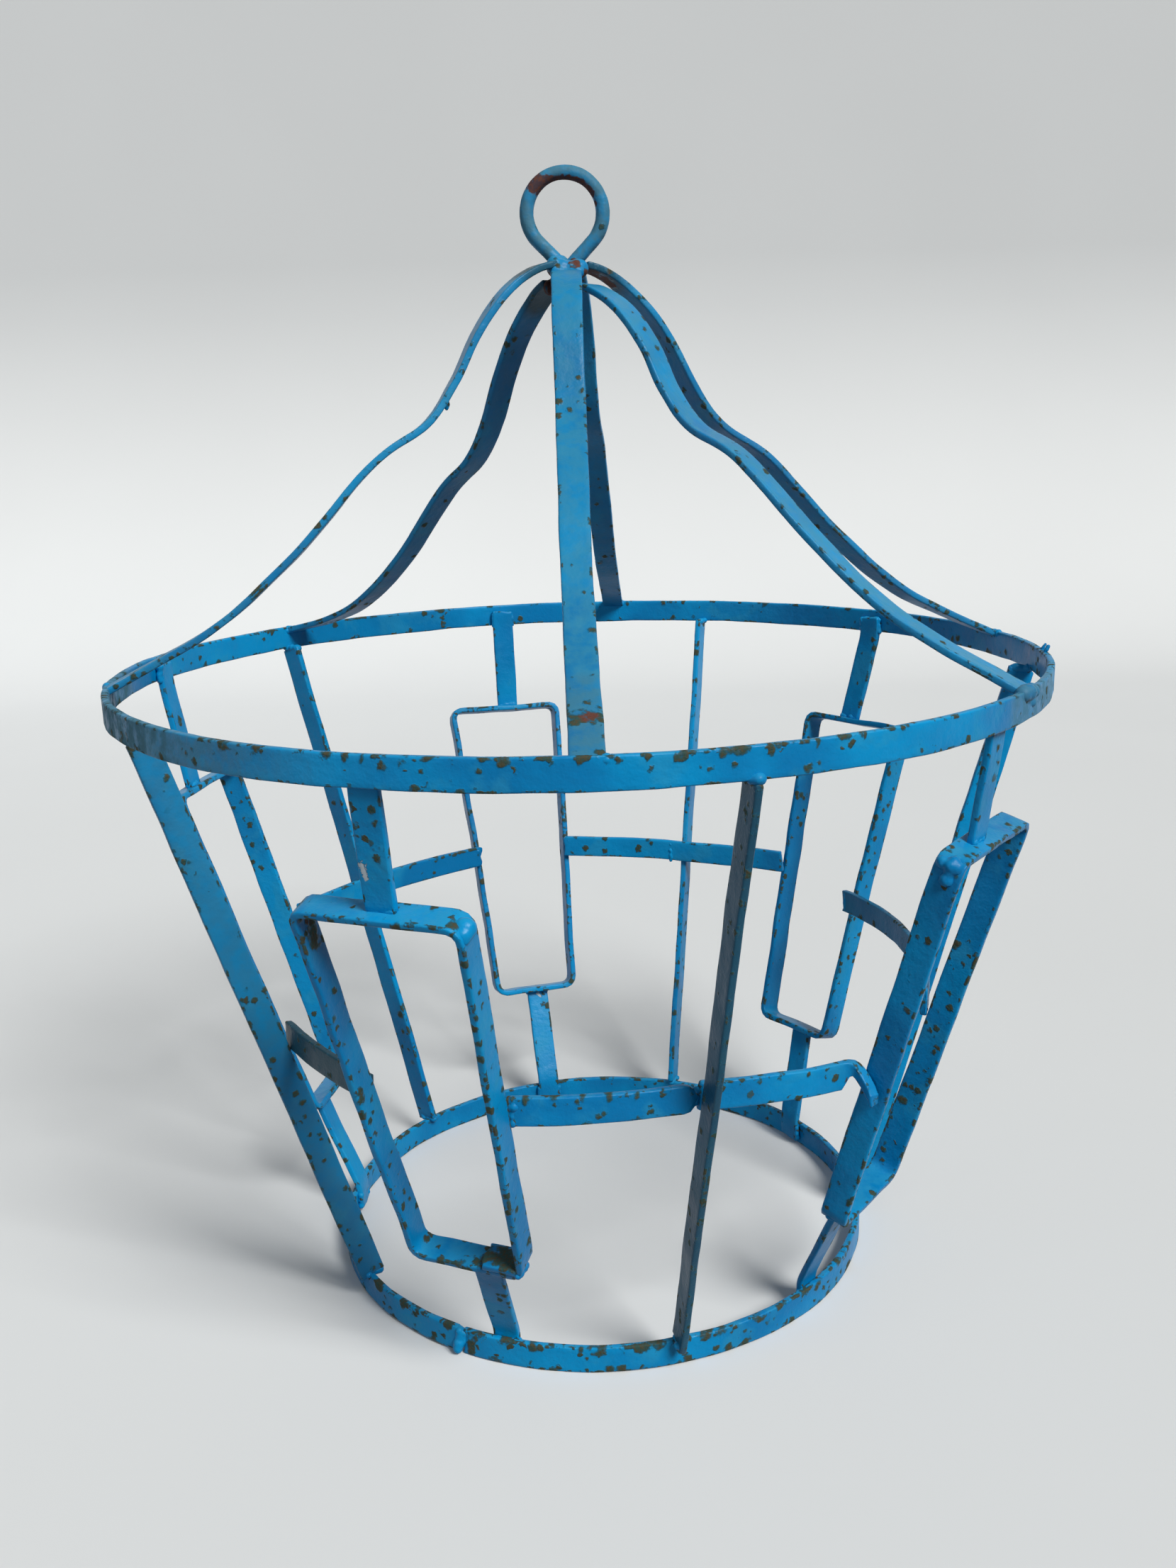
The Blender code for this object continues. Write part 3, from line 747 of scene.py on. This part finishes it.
def enamel(name, speckle, edges, top_dust_and_light, grey):
    """Brushed azure enamel with its rust and wear, its tops paler from dust and painted light, and
    painted shade.
    """
    s = Shading(name)
    slow = s.noise(16.0, 3.0, offset=(0.3, 0.1, 0.7))
    patchy = s.noise(70.0, 4.0, offset=(1.3, 2.1, 0.2))
    gritty = s.noise(210.0, 3.0, offset=(2.3, 0.4, 3.2))
    fine = s.noise(620.0, 4.0, 0.6)
    grain = s.sum("SUBTRACT", fine, 0.5)
    edge = s.attribute("edge")
    rust = s.attribute("rust")

    colour = s.blend(s.ramp(slow, 0.38, 0.62), AZURE, AZURE_DEEP)
    colour = s.blend(s.ramp(patchy, 0.52, 0.66, 0.0, 0.30), colour, AZURE_PALE)
    # paler where the faces look up: partly dust and fading, partly painted light from above
    pale = s.sum("MULTIPLY", s.ramp(s.facing_up(), 0.20, 0.90, 0.0, top_dust_and_light), s.ramp(gritty, 0.3, 0.6))
    colour = s.blend(pale, colour, AZURE_PALE)
    dull = s.sum("MAXIMUM", s.attribute("grey"), grey)
    dull = s.sum("MULTIPLY", dull, s.ramp(gritty, 0.32, 0.60, 0.45, 1.0))
    colour = s.blend(dull, colour, GREY_TEAL)
    # painted shade: the 'dim' layer darkens the paint towards a dark teal, mostly where shade falls
    # under and between parts and on faces turned from the light
    colour = s.blend(s.attribute("dim"), colour, PAINTED_SHADE_TEAL)

    # round spots of rust under the paint, in clusters, thicker along the edges
    wobble = s.noise(640.0, 2.0, 0.5, output="Color")
    density = s.sum("MULTIPLY", s.ramp(patchy, 0.40, 0.60, 0.10, 0.62), speckle)
    density = s.sum("MULTIPLY", density, s.ramp(slow, 0.34, 0.56, 0.45, 1.0))
    density = s.sum("ADD", density, s.sum("MULTIPLY", edge, 0.20 * edges))
    density = s.sum("ADD", density, s.sum("MULTIPLY", rust, 0.7))
    spots = None
    for scale, offset, size in ((300.0, (0.0, 0.0, 0.0), 0.36), (190.0, (3.1, 1.7, 4.4), 0.27)):
        distance, tint = s.cells(scale, s.moved(offset, wobble, 0.0022))
        pick = s.node("SeparateColor", {0: tint}).outputs
        chosen = s.ramp(s.sum("SUBTRACT", density, pick[0]), 0.0, 0.06)
        reach = s.ramp(pick[1], 0.0, 1.0, size * 0.55, size * 1.20)
        one = s.ramp(s.sum("SUBTRACT", reach, distance), -0.13, 0.13)
        one = s.sum("MULTIPLY", one, chosen)
        spots = one if spots is None else s.sum("MAXIMUM", spots, one)

    # wear along the arrises, and the patches laid on at given places
    lip = s.ramp(s.sum("ADD", edge, s.sum("MULTIPLY", grain, 1.2)), 0.55, 0.95)
    lip = s.sum("MULTIPLY", lip, s.ramp(gritty, 0.60 - 0.10 * edges, 0.72 - 0.10 * edges))
    rough = s.sum("MULTIPLY", s.sum("SUBTRACT", gritty, 0.5), 2.2)
    patch = s.ramp(s.sum("ADD", rust, rough), 0.50, 1.00)
    patch = s.sum("MULTIPLY", patch, s.ramp(rust, 0.45, 0.65))
    rusty = s.sum("MAXIMUM", spots, s.sum("MULTIPLY", s.sum("MAXIMUM", lip, patch), 0.9))

    hue = s.noise(900.0, 2.0, offset=(5.0, 5.0, 5.0))
    browns = s.blend(s.ramp(hue, 0.40, 0.60), OLIVE, RUST)
    browns = s.blend(s.ramp(s.attribute("red"), 0.2, 0.6), browns, RUST_RED)
    colour = s.blend(s.ramp(rusty, 0.02, 0.50), colour, TEAL)
    colour = s.blend(s.ramp(rusty, 0.30, 0.90), colour, browns)

    worn = s.attribute("worn")
    bare = s.ramp(s.sum("ADD", worn, s.sum("MULTIPLY", grain, 1.4)), 0.40, 0.75)
    bare = s.sum("MULTIPLY", bare, s.ramp(worn, 0.02, 0.12))
    colour = s.blend(bare, colour, s.blend(s.ramp(hue, 0.4, 0.65), BARE, RUST_RED))
    chip = s.attribute("chip")
    chipped = s.ramp(s.sum("ADD", chip, s.sum("MULTIPLY", grain, 2.0)), 0.60, 0.80)
    chipped = s.sum("MULTIPLY", chipped, s.ramp(chip, 0.02, 0.12))
    colour = s.blend(chipped, colour, CHIP)

    s.feed(s.shader.inputs["Base Color"], colour)
    gloss = s.ramp(patchy, 0.35, 0.65, 0.34, 0.46)
    dry = s.sum("MULTIPLY", s.sum("MAXIMUM", s.sum("MAXIMUM", rusty, bare), dull), 0.80)
    s.feed(s.shader.inputs["Roughness"], s.sum("MAXIMUM", gloss, dry))
    peel = s.sum("ADD", s.noise(300.0, 2.0), s.sum("MULTIPLY", s.noise(1400.0, 2.0), 0.25))
    under = s.bump(peel, 0.00025)
    lift = s.sum("SUBTRACT", s.sum("MULTIPLY", rusty, s.noise(1100.0, 3.0, 0.7)), chipped)
    s.feed(s.shader.inputs["Normal"], s.bump(lift, 0.00040, under))
    s.shader.inputs["Specular IOR Level"].default_value = 0.22
    return s.material


# --- putting pieces on the frame


def keep(obj, material, node=None, marks=()):
    """Paint a piece, wear it and put it on the frame, in place of its CAD node if it has one."""
    obj.data.materials.clear()
    obj.data.materials.append(material)
    mark(obj, marks)
    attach(obj, "root")
    if node:
        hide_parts(node)


def bar(node, slot, paint, path, marks=(), **shape):
    """Sweep the bar that stands in for a CAD node, and keep it."""
    keep(sweep(f"{node}_bar", *path, **shape), paint, node, marks)


def on_window(name, x, y, depth):
    """A place on a frame: x to its right, y up from its foot, depth in from its outer edge."""
    bearing, _, _, _, lower, higher, aside = WINDOWS[name]
    foot, _, up, out = window_axes(lower, higher, aside)
    return to_world(bearing, foot + Vector((x, 0.0, 0.0)) + up * y - out * depth)


def part_way(path, share):
    return path[round(share * (len(path) - 1))]


def row(kind, points, radius, strength):
    return [(kind, point, radius, strength) for point in points]


def make_hoops(paint, rim_paint):
    """The rim, rusty along the front of its top and weathered at the left, and the base hoop."""
    points, wides = hoop_path(rim_r, RIM_TOP - BAR_W / 2, 55.0, 415.0, 420)
    rim = sweep("rim_bar", points[:-1], wides[:-1], closed=True, seed=1, bow=0.0003)
    # rust in a broken line along the front of its top
    marks = []
    noise.seed_set(4)
    for k in range(26):
        b = -38.0 + 2.6 * k + 2.0 * noise.random()
        top = place(b, rim_r(b), RIM_TOP - 0.0012 * noise.random())
        marks.append(("rust", top, 0.0018 + 0.0020 * noise.random(), 0.85))
    # and in spots along both edges of its inside
    for k in range(16):
        b = 50.0 + 15.0 * k + 11.0 * noise.random()
        z = RIM_TOP - (BAR_W if k % 2 else 0.0)
        marks.append(("rust", place(b, rim_r(b) - BAR_T, z), 0.0035, 0.8))
    # weathered at the left, and beside the front right strap
    for b in range(-84, -26, 4):
        strength = 0.95 if b < -50 else 0.95 * (-24 - b) / 26
        marks.append(("grey", place(b, rim_r(b), RIM_TOP - BAR_W / 2), 0.017, strength))
    for b in (54, 58, 62, 66):
        marks.append(("grey", place(b, rim_r(b), RIM_TOP - BAR_W / 2), 0.014, 0.7))
    for b in (-66, -61, -57, -52):
        marks.append(("rust", place(b, rim_r(b), RIM_TOP - BAR_W), 0.004, 0.9))
    keep(rim, rim_paint, "rim", marks)

    # the base hoop's last end rides up and out a little where it meets the first
    points, wides = hoop_path(base_r, BAR_W / 2, *BASE_ENDS, 300)
    step = (UP + out_at(SEAM_AT)) * BASE_END_STEP
    for i in range(BASE_END_RUN):
        points[-1 - i] = points[-1 - i] + step * (1.0 - i / BASE_END_RUN)
    base = sweep("base_hoop_bar", points, wides, seed=2, bow=0.0003, ragged=0.0010)
    marks = []
    noise.seed_set(9)
    for k in range(34):
        b = -75.0 + 4.2 * k + 3.0 * noise.random()
        z = BAR_W if k % 3 else 0.0005
        marks.append(("rust", place(b, base_r(b), z), 0.0030 + 0.0025 * noise.random(), 0.85))
    for z in (0.002, 0.005, 0.008):
        marks.append(("rust", place(-27.6, base_r(-27.6), z), 0.0030, 1.0))
    keep(base, paint, "base_hoop", marks)


def make_windows(paint, lug_paint):
    """The frames, and the tab above and the leg below each."""
    for k, (name, shape) in enumerate(WINDOWS.items()):
        bearing, tab_at, leg_at, wider, lower, higher, foot_aside = shape
        path = window_path(bearing, wider, lower, higher, foot_aside)
        marks = []
        for kind, (x, y), (dx, dy), count, depth, radius, strength in FRAME_WEAR.get(name, ()):
            places = [on_window(name, x + dx * i, y + dy * i, depth) for i in range(count)]
            marks += row(kind, places, radius, strength)
        bar(f"window_{name}", "frame_paint", paint, path, marks,
            closed=True, seed=10 + k, bow=0.0004)

        plates = ((f"tab_{name}", tab_path, tab_at, 20), (f"leg_{name}", leg_path, leg_at, 30))
        for node, path_of, bearings, seed in plates:
            points, wides = path_of(bearings, lower, higher)
            marks = []
            for kind, shares, offset, radius, strength in PLATE_WEAR.get(node, ()):
                aside = side_at(bearings[1]) * offset
                marks += row(kind, [part_way(points, t) + aside for t in shares], radius, strength)
            bar(node, "lug_paint", lug_paint, (points, wides), marks, seed=seed + k, ragged=0.0009)

    # the ends of the front left frame's bar lap each other on its foot
    lap = [on_window("front_left", x, 0.0038, BAR_W / 2 - 0.0004) for x in (0.0065, 0.0195)]
    out = out_at(WINDOWS["front_left"][0]) * 0.97 - UP * 0.24
    points, wides = spaced(lap, [out, out])
    flap = sweep("window_front_left_lap", points, wides, width=LAP_W, seed=19, ragged=0.0016)
    keep(flap, paint, None, row("rust", points[::2], 0.0070, 1.0))


def make_uprights(paint):
    for k, (name, bearings) in enumerate(UPRIGHTS.items()):
        points, wides = upright_path(*bearings)
        marks = []
        if name == "left":
            marks = row("rust", [points[-1] + out_at(bearings[0]) * 0.004], 0.0060, 0.9)
            marks += row("grey", points[::2], 0.014, 0.34) + row("dim", points[::2], 0.014, 0.18)
        if name == "front":
            # painted shade: the 'dim' layer darkens the front upright all along, its face turned
            # from the light being in shade; the rust spots are real
            marks = row("rust", points[4::6], 0.0060, 0.38) + row("dim", points[::2], 0.014, 0.80)
        bar(f"upright_{name}", "upright_paint", paint, (points, wides), marks,
            seed=40 + k, ragged=0.0009)


def make_ties(paint):
    for k, (name, shape) in enumerate(TIES.items()):
        points, wides = tie_path(*shape)
        # painted shade: the 'dim' layer darkens the left tie all along, its outer face being in
        # shade
        marks = row("dim", points, 0.0200, 0.9) if name == "left" else []
        if name == "right":
            marks = row("dim", points[len(points) // 2:], 0.0140, 0.45)
        bar(f"tie_{name}", "tie_paint", paint, (points, wides), marks,
            seed=50 + k, bow=0.0004, ragged=0.0016)

    (left, left_wides), (right, right_wides) = front_tie_paths()

    def pointed(t):
        return 1.0 - 0.5 * max(0.0, (t - 0.93) / 0.07) ** 2

    marks = row("rust", [left[0] + UP * z for z in (-0.003, 0.003)], 0.0050, 1.0)
    marks += row("rust", [p + UP * 0.004 for p in left[3::4]], 0.0035, 0.75)
    bar("tie_front_a", "tie_paint", paint, (left, left_wides), marks,
        seed=56, ragged=0.0016, widths=pointed)

    def curled(t):
        """0 on the tie's straight run, 1 on its fold."""
        return min(1.0, max(0.0, (t - 0.80) / 0.05))

    def narrowed(t):
        return 1.0 - 0.54 * curled(t)

    def falling(t):
        return (1.0 - narrowed(t)) * BAR_W / 2 - CURL_FALL * max(0.0, (t - 0.86) / 0.14) ** 1.6

    def thickened(t):
        return 1.0 + 0.6 * curled(t)

    torn = [part_way(right, 0.82) + UP * z for z in (-0.003, -0.001)]
    marks = row("rust", torn, 0.0028, 1.0) + row("red", torn, 0.0030, 1.0)
    marks += row("rust", [p + UP * 0.0035 for p in right[4:20:5]], 0.0030, 0.75)
    bar("tie_front_b", "tie_paint", paint, (right, right_wides), marks, seed=57, ragged=0.0010,
        bow=0.0004, widths=narrowed, drift=falling, thicks=thickened)


def make_straps(paint):
    def taper(t):
        return 1.0 + (STRAP_W_HUB / BAR_W - 1.0) * max(0.0, 1.0 - 2 * t)

    for k, (name, shape) in enumerate(STRAPS.items()):
        points, wides = strap_path(*shape)
        marks = row("grey", points[::4], 0.012, 0.30)
        if name == "front":
            marks = row("grey", points[::4], 0.012, 0.22)
            marks += row("grey", points[-14::3], 0.012, 0.55) + row("dim", points[::4], 0.012, 0.16)
            patch = [part_way(points, 0.925) + side_at(0.0) * x for x in (-0.0015, 0.0010)]
            marks += row("rust", patch, 0.0052, 1.0) + row("red", patch[1:], 0.0040, 0.9)
        if name in ("back_right", "left", "back_left"):
            # painted shadow under the hub: the 'dim' layer darkens the straps' first few sections;
            # the rust on the back right one is real
            under = [point - UP * 0.0022 for point in points[:5]]
            marks += row("dim", under, 0.0100, 0.9)
            if name == "back_right":
                marks += row("rust", under, 0.0075, 1.0) + row("red", under, 0.0075, 0.8)
        bar(f"strap_{name}", "strap_paint", paint, (points, wides), marks,
            seed=60 + k, bow=0.0003, widths=taper)


def tube(name, points, radius, sides=20):
    """A round rod through points, with an edge layer for its wear."""
    bm = bmesh.new()
    edge_layer = bm.verts.layers.float.new("edge")
    rings = []
    last = len(points) - 1
    for i, point in enumerate(points):
        along = (points[min(i + 1, last)] - points[max(i - 1, 0)]).normalized()
        across = along.cross(Vector((0.0, 1.0, 0.0))).normalized()
        other = along.cross(across)
        ring = []
        for j in range(sides):
            a = math.tau * j / sides
            normal = across * math.cos(a) + other * math.sin(a)
            at = point + normal * radius
            vert = bm.verts.new(at + dent(at, normal, EYE_DENT))
            vert[edge_layer] = 0.1
            ring.append(vert)
        rings.append(ring)
    return skin(name, bm, rings)


def eye_path():
    """Once round the ring, then both ends straight down to where they meet."""
    centre = CROWN_SHIFT + UP * EYE_CENTRE_Z
    opening = math.radians(EYE_OPENING)
    tail = EYE_MID_R * math.sqrt(2) - EYE_TAIL_DROP
    path = [Vector((-tail, 0.0, -EYE_TAIL_DROP))]
    for i in range(EYE_STEPS + 1):
        a = opening + (math.tau - 2 * opening) * i / EYE_STEPS
        path.append(Vector((-EYE_MID_R * math.sin(a), 0.0, -EYE_MID_R * math.cos(a))))
    path.append(Vector((tail, 0.0, -EYE_TAIL_DROP)))
    points, _ = spaced(path, [UP] * len(path), 0.0009)
    last = len(points) - 1
    for i, p in enumerate(points):
        p.y = EYE_SIDE_STEP * max(-1.0, min(1.0, (i / last * 2 - 1) * 1.25))
    return centre, [centre + p for p in points]


def make_eye(paint):
    centre, points = eye_path()
    ring = tube("eye_ring", points, ROD_R)
    inner = EYE_MID_R - ROD_R
    marks = []
    for degrees, depth, radius in (
        (-52, EYE_MID_R, 0.0042), (-40, EYE_MID_R, 0.0042), (-28, 0.0125, 0.0034),
        (-15, inner, 0.0030), (-3, inner, 0.0028), (9, inner, 0.0028), (21, inner, 0.0028),
        (33, inner, 0.0030), (45, inner, 0.0030), (56, inner, 0.0026), (75, inner, 0.0016),
    ):
        a = math.radians(degrees)
        spot = Vector((depth * math.sin(a), -0.0008, depth * math.cos(a)))
        marks.append(("worn", centre + spot, radius, 1.0))
    neck = centre + Vector((0.0030, -0.0015, -0.0170))
    marks += [("rust", neck, 0.0032, 1.0), ("red", neck, 0.0035, 1.0)]
    keep(ring, paint, "eye", marks)


def make_hub(paint):
    neck = CROWN_SHIFT + UP * NECK_Z
    runs = [([neck + Vector(a), neck + Vector(b)], radius) for a, b, radius in HUB_LUMPS]
    hub = weld("hub_weld", runs)
    spots = [neck + Vector((0.0030, -0.0070, 0.0010)), neck + Vector((0.0055, -0.0050, -0.0015))]
    marks = row("rust", spots, 0.0034, 1.0) + row("red", spots, 0.0034, 1.0)
    spots = [neck + Vector((-0.0050, -0.001, z)) for z in (-0.0035, -0.0060)]
    marks += row("rust", spots, 0.0085, 1.0) + row("red", spots, 0.0085, 0.6)
    marks += row("grey", [neck], 0.012, 0.6)
    keep(hub, paint, "hub", marks)


def bead(at, direction, half, radius):
    """A short run of weld, centred on a place."""
    return ([at - direction * half, at + direction * half], radius)


def make_welds(paint):
    """The beads, one piece for each kind of joint."""
    half = BAR_W / 2
    tabs, legs = [], []
    for _, tab_at, leg_at, _, lower, higher, _ in WINDOWS.values():
        points, _ = tab_path(tab_at, lower, higher)
        side = side_at(tab_at[0])
        for aside in (-0.92, 0.92):
            step = side * (half * aside)
            tabs.append(([points[0] + step - UP * 0.001, points[3] + step], 0.0013))
        tabs.append(bead(points[-1] + UP * 0.0004, side_at(tab_at[1]), 0.0036, 0.0015))
        points, _ = leg_path(leg_at, lower, higher)
        legs.append(bead(points[0] - UP * 0.0004, side_at(leg_at[0]), 0.0044, 0.0017))
        for aside in (-0.95, 0.95):
            step = side_at(leg_at[1]) * (half * aside)
            legs.append(([points[-1] + step + UP * 0.001, points[-1] + step + UP * 0.006], 0.0012))
    keep(weld("welds_tabs", tabs), paint)
    keep(weld("welds_legs", legs), paint)

    heads, feet = [], []
    for top_at, foot_at, further in UPRIGHTS.values():
        points, _ = upright_path(top_at, foot_at, further)
        heads.append(bead(points[-1], out_at(top_at), 0.0032, 0.0016))
        heads.append(bead(points[-1] + out_at(top_at) * 0.002, side_at(top_at), 0.0011, 0.0014))
        feet.append(bead(points[0], out_at(foot_at), 0.0030, 0.0015))
        feet.append(bead(points[0] + out_at(foot_at) * 0.002, side_at(foot_at), 0.0012, 0.0013))
    keep(weld("welds_upright_tops", heads), paint)
    keep(weld("welds_upright_feet", feet), paint)

    ties = []
    for shape in TIES.values():
        points, _ = tie_path(*shape)
        for k in (1, -2):
            ties.append(bead(points[k], UP, 0.0034, 0.0014))
        if shape[0]:
            ties.append(bead(points[len(points) // 2] - UP * 0.001, UP, 0.0040, 0.0014))
    (left, _), _ = front_tie_paths()
    ties.append(bead(left[1], UP, 0.0042, 0.0017))
    ties.append(bead(left[-1] + UP * 0.0005, UP, 0.0022, 0.0012))
    keep(weld("welds_ties", ties, FINE_VOXEL), paint)

    straps = []
    for shape in STRAPS.values():
        points, wides = strap_path(*shape)
        straps.append(bead(points[-1], wides[-1].normalized(), half * 0.9, 0.0016))
    for b, z, half_run, radius in ((56.6, 0.2400, 0.0052, 0.0025), (57.6, 0.2365, 0.0030, 0.0019)):
        straps.append(bead(place(b, rim_r(b) - 0.0016, z), side_at(b), half_run, radius))
    spur = part_way(strap_path(*STRAPS["left"])[0], 0.29)
    straps.append(bead(spur + Vector((0.001, 0.0, -0.0010)), UP, 0.0010, 0.0011))
    for b in (82.0, 84.0):
        spike = [place(b, rim_r(b) - 0.001, RIM_TOP), place(b, rim_r(b), RIM_TOP + 0.002)]
        straps.append((spike, 0.0008))
    dull = row("grey", [place(b, rim_r(b), 0.2390) for b in (54.0, 57.0, 60.0)], 0.014, 0.7)
    keep(weld("welds_straps", straps, FINE_VOXEL), paint, None, dull)

    # lumps on the frames' corners, and the seams on their feet
    corners = [
        ([on_window("front_left", 0.0268, 0.1440, d) for d in (0.0034, 0.0055)], 0.0037),
        ([on_window("front_left", 0.0282, 0.1425, d) for d in (0.0028, 0.0045)], 0.0024),
        ([on_window("front_right", -0.0283, 0.1475, d) for d in (0.0034, 0.0072)], 0.0023),
        ([on_window("front_right", x, 0.1484, 0.0042) for x in (-0.0280, -0.0235)], 0.0020),
        ([on_window("front_right", -0.0290, y, 0.0044) for y in (0.1475, 0.1425)], 0.0020),
        bead(on_window("front_left", 0.0195, 0.0022, 0.0030), out_at(-21.5), 0.0030, 0.0016),
        bead(on_window("front_right", -0.0195, 0.0026, 0.0040), out_at(53.6), 0.0030, 0.0014),
    ]
    keep(weld("welds_frames", corners, FINE_VOXEL), paint)

    # where the base hoop's two ends meet
    at = place(-30.1, base_r(SEAM_AT) - 0.0006, 0.0050)
    out, side = out_at(-31.0), side_at(SEAM_AT)
    seam = [
        ([at + UP * 0.0036, at - UP * 0.0012], 0.0017),
        ([at - UP * 0.0012 + out * 0.0008, at - UP * 0.0028 + out * 0.0010], 0.0021),
        ([at + side * 0.0016 + UP * 0.003, at + side * 0.0018], 0.0011),
    ]
    keep(weld("welds_seam", seam, FINE_VOXEL), paint)


# --- studio

FLOOR_SIDES = (-4.0, 4.0)
FLOOR_NEAR, FLOOR_FAR = -3.0, 1.2  # where it starts, and where it starts to curve up
FLOOR_BEND, WALL_TOP = 0.6, 3.5
FLOOR_GAP = 0.0002  # under the basket
RING_R, RING_ENDS, RING_STEPS = 7.0, (-3.0, 9.0), 48
PAPER = srgb(226, 228, 228)
PAPER_DARKER = [c * 0.985 for c in PAPER[:3]] + [1.0]
RING_PAPER, RING_PAPER_DARKER = srgb(213, 215, 216), srgb(211, 213, 214)

KEY_POWER, KEY_SPREAD, KEY_TRAVEL = 3.25, 24.0, (-0.454, 0.542, -0.707)
KEY_COLOUR, SKY_COLOUR = (1.0, 0.99, 0.97), (0.94, 0.97, 1.0)
# weak square lights: place and power
WEAK_LIGHTS = {"fill": ((-1.7, -1.6, 1.0), 8.0), "rear": ((-0.7, 2.2, 0.9), 9.0)}
WEAK_SIZE, WEAK_TARGET = 1.6, (0.0, 0.0, 0.2)
ROOM_COLOUR, ROOM_POWER = (0.80, 0.88, 0.96, 1.0), 0.14

CAMERA_AT = (0.0034, -0.5262, 0.3240)
CAMERA_PITCH, CAMERA_ROLL, CAMERA_YAW = -0.2504, -0.028, -0.003
CAMERA_LENS, CAMERA_SENSOR = 31.3, 36.0  # millimetres


def sheet(name, rows):
    """A sheet of paper through rows of two places, that throws no light up under the basket."""
    bm = bmesh.new()
    rows = [[bm.verts.new(at) for at in ends] for ends in rows]
    for near, far in zip(rows, rows[1:]):
        bm.faces.new((near[0], near[1], far[1], far[0]))
    piece = add_piece(name, bm)
    piece.visible_diffuse = False
    return piece


def paper(name, colour, darker):
    """The shading of nearly even paper, and its tint."""
    s = Shading(name)
    return s, s.blend(s.ramp(s.noise(3.0, 2.0), 0.3, 0.7), colour, darker)


def make_floor():
    """A pale floor that curves up into a pale wall, far behind."""
    profile = [(FLOOR_NEAR, 0.0), (FLOOR_FAR, 0.0)]
    for i in range(1, 13):
        a = math.pi / 2 * i / 12
        profile.append((FLOOR_FAR + FLOOR_BEND * math.sin(a), FLOOR_BEND * (1 - math.cos(a))))
    profile.append((FLOOR_FAR + FLOOR_BEND, WALL_TOP))
    floor = sheet("floor", [[(x, y, z - FLOOR_GAP) for x in FLOOR_SIDES] for y, z in profile])
    s, tint = paper("floor_paper", PAPER, PAPER_DARKER)
    s.feed(s.shader.inputs["Base Color"], tint)
    s.shader.inputs["Roughness"].default_value = 0.9
    floor.data.materials.append(s.material)


def make_backdrop():
    """A pale ring round the room, so that every side looks onto paper. It glows evenly."""
    spots = [out_at(360.0 * i / RING_STEPS) * RING_R for i in range(RING_STEPS + 1)]
    ring = sheet("backdrop", [[spot + UP * z for z in RING_ENDS] for spot in spots])
    s, tint = paper("backdrop_paper", RING_PAPER, RING_PAPER_DARKER)
    s.feed(s.shader.inputs["Emission Color"], tint)
    s.shader.inputs["Emission Strength"].default_value = 1.0
    s.shader.inputs["Base Color"].default_value = (0.0, 0.0, 0.0, 1.0)
    s.shader.inputs["Specular IOR Level"].default_value = 0.0
    ring.data.materials.append(s.material)
    ring.visible_glossy = ring.visible_shadow = False


def aimed(name, light, travel):
    """Put a light in the scene, shining along travel."""
    obj = bpy.data.objects.new(name, light)
    obj.rotation_euler = Vector(travel).to_track_quat("-Z", "Y").to_euler()
    bpy.context.scene.collection.objects.link(obj)
    return obj


def make_studio():
    """One broad soft light, high on the right in front, two weak ones, and a dim even room."""
    key = bpy.data.lights.new("key", "SUN")
    key.energy, key.angle, key.color = KEY_POWER, math.radians(KEY_SPREAD), KEY_COLOUR
    aimed("key", key, KEY_TRAVEL)
    for name, (at, power) in WEAK_LIGHTS.items():
        light = bpy.data.lights.new(name, "AREA")
        light.size, light.energy, light.color = WEAK_SIZE, power, SKY_COLOUR
        aimed(name, light, Vector(WEAK_TARGET) - Vector(at)).location = at
    world = bpy.data.worlds.new("studio")
    world.use_nodes = True
    world.node_tree.nodes["Background"].inputs["Color"].default_value = ROOM_COLOUR
    world.node_tree.nodes["Background"].inputs["Strength"].default_value = ROOM_POWER
    bpy.context.scene.world = world
    bpy.context.scene.view_settings.view_transform = "Standard"


def make_camera():
    """A little above the rim, half a metre in front, looking a little down."""
    data = bpy.data.cameras.new("camera")
    data.lens, data.sensor_width = CAMERA_LENS, CAMERA_SENSOR
    camera = bpy.data.objects.new("camera", data)
    heading = Matrix.Rotation(-CAMERA_YAW, 4, "Z")
    tilt = Matrix.Rotation(math.pi / 2 + CAMERA_PITCH, 4, "X")
    lean = Matrix.Rotation(CAMERA_ROLL, 4, "Z")
    camera.matrix_world = Matrix.Translation(CAMERA_AT) @ heading @ tilt @ lean
    bpy.context.scene.collection.objects.link(camera)
    bpy.context.scene.camera = camera


def main():
    paint = {name: enamel(f"{name}_enamel", *values) for name, values in ENAMELS.items()}
    make_hoops(paint["hoop"], paint["rim"])
    make_windows(paint["frame"], paint["lug"])
    make_uprights(paint["upright"])
    make_ties(paint["tie"])
    make_straps(paint["strap"])
    make_eye(paint["eye"])
    make_hub(paint["weld"])
    make_welds(paint["weld"])
    make_floor()
    make_backdrop()
    make_studio()
    make_camera()


main()
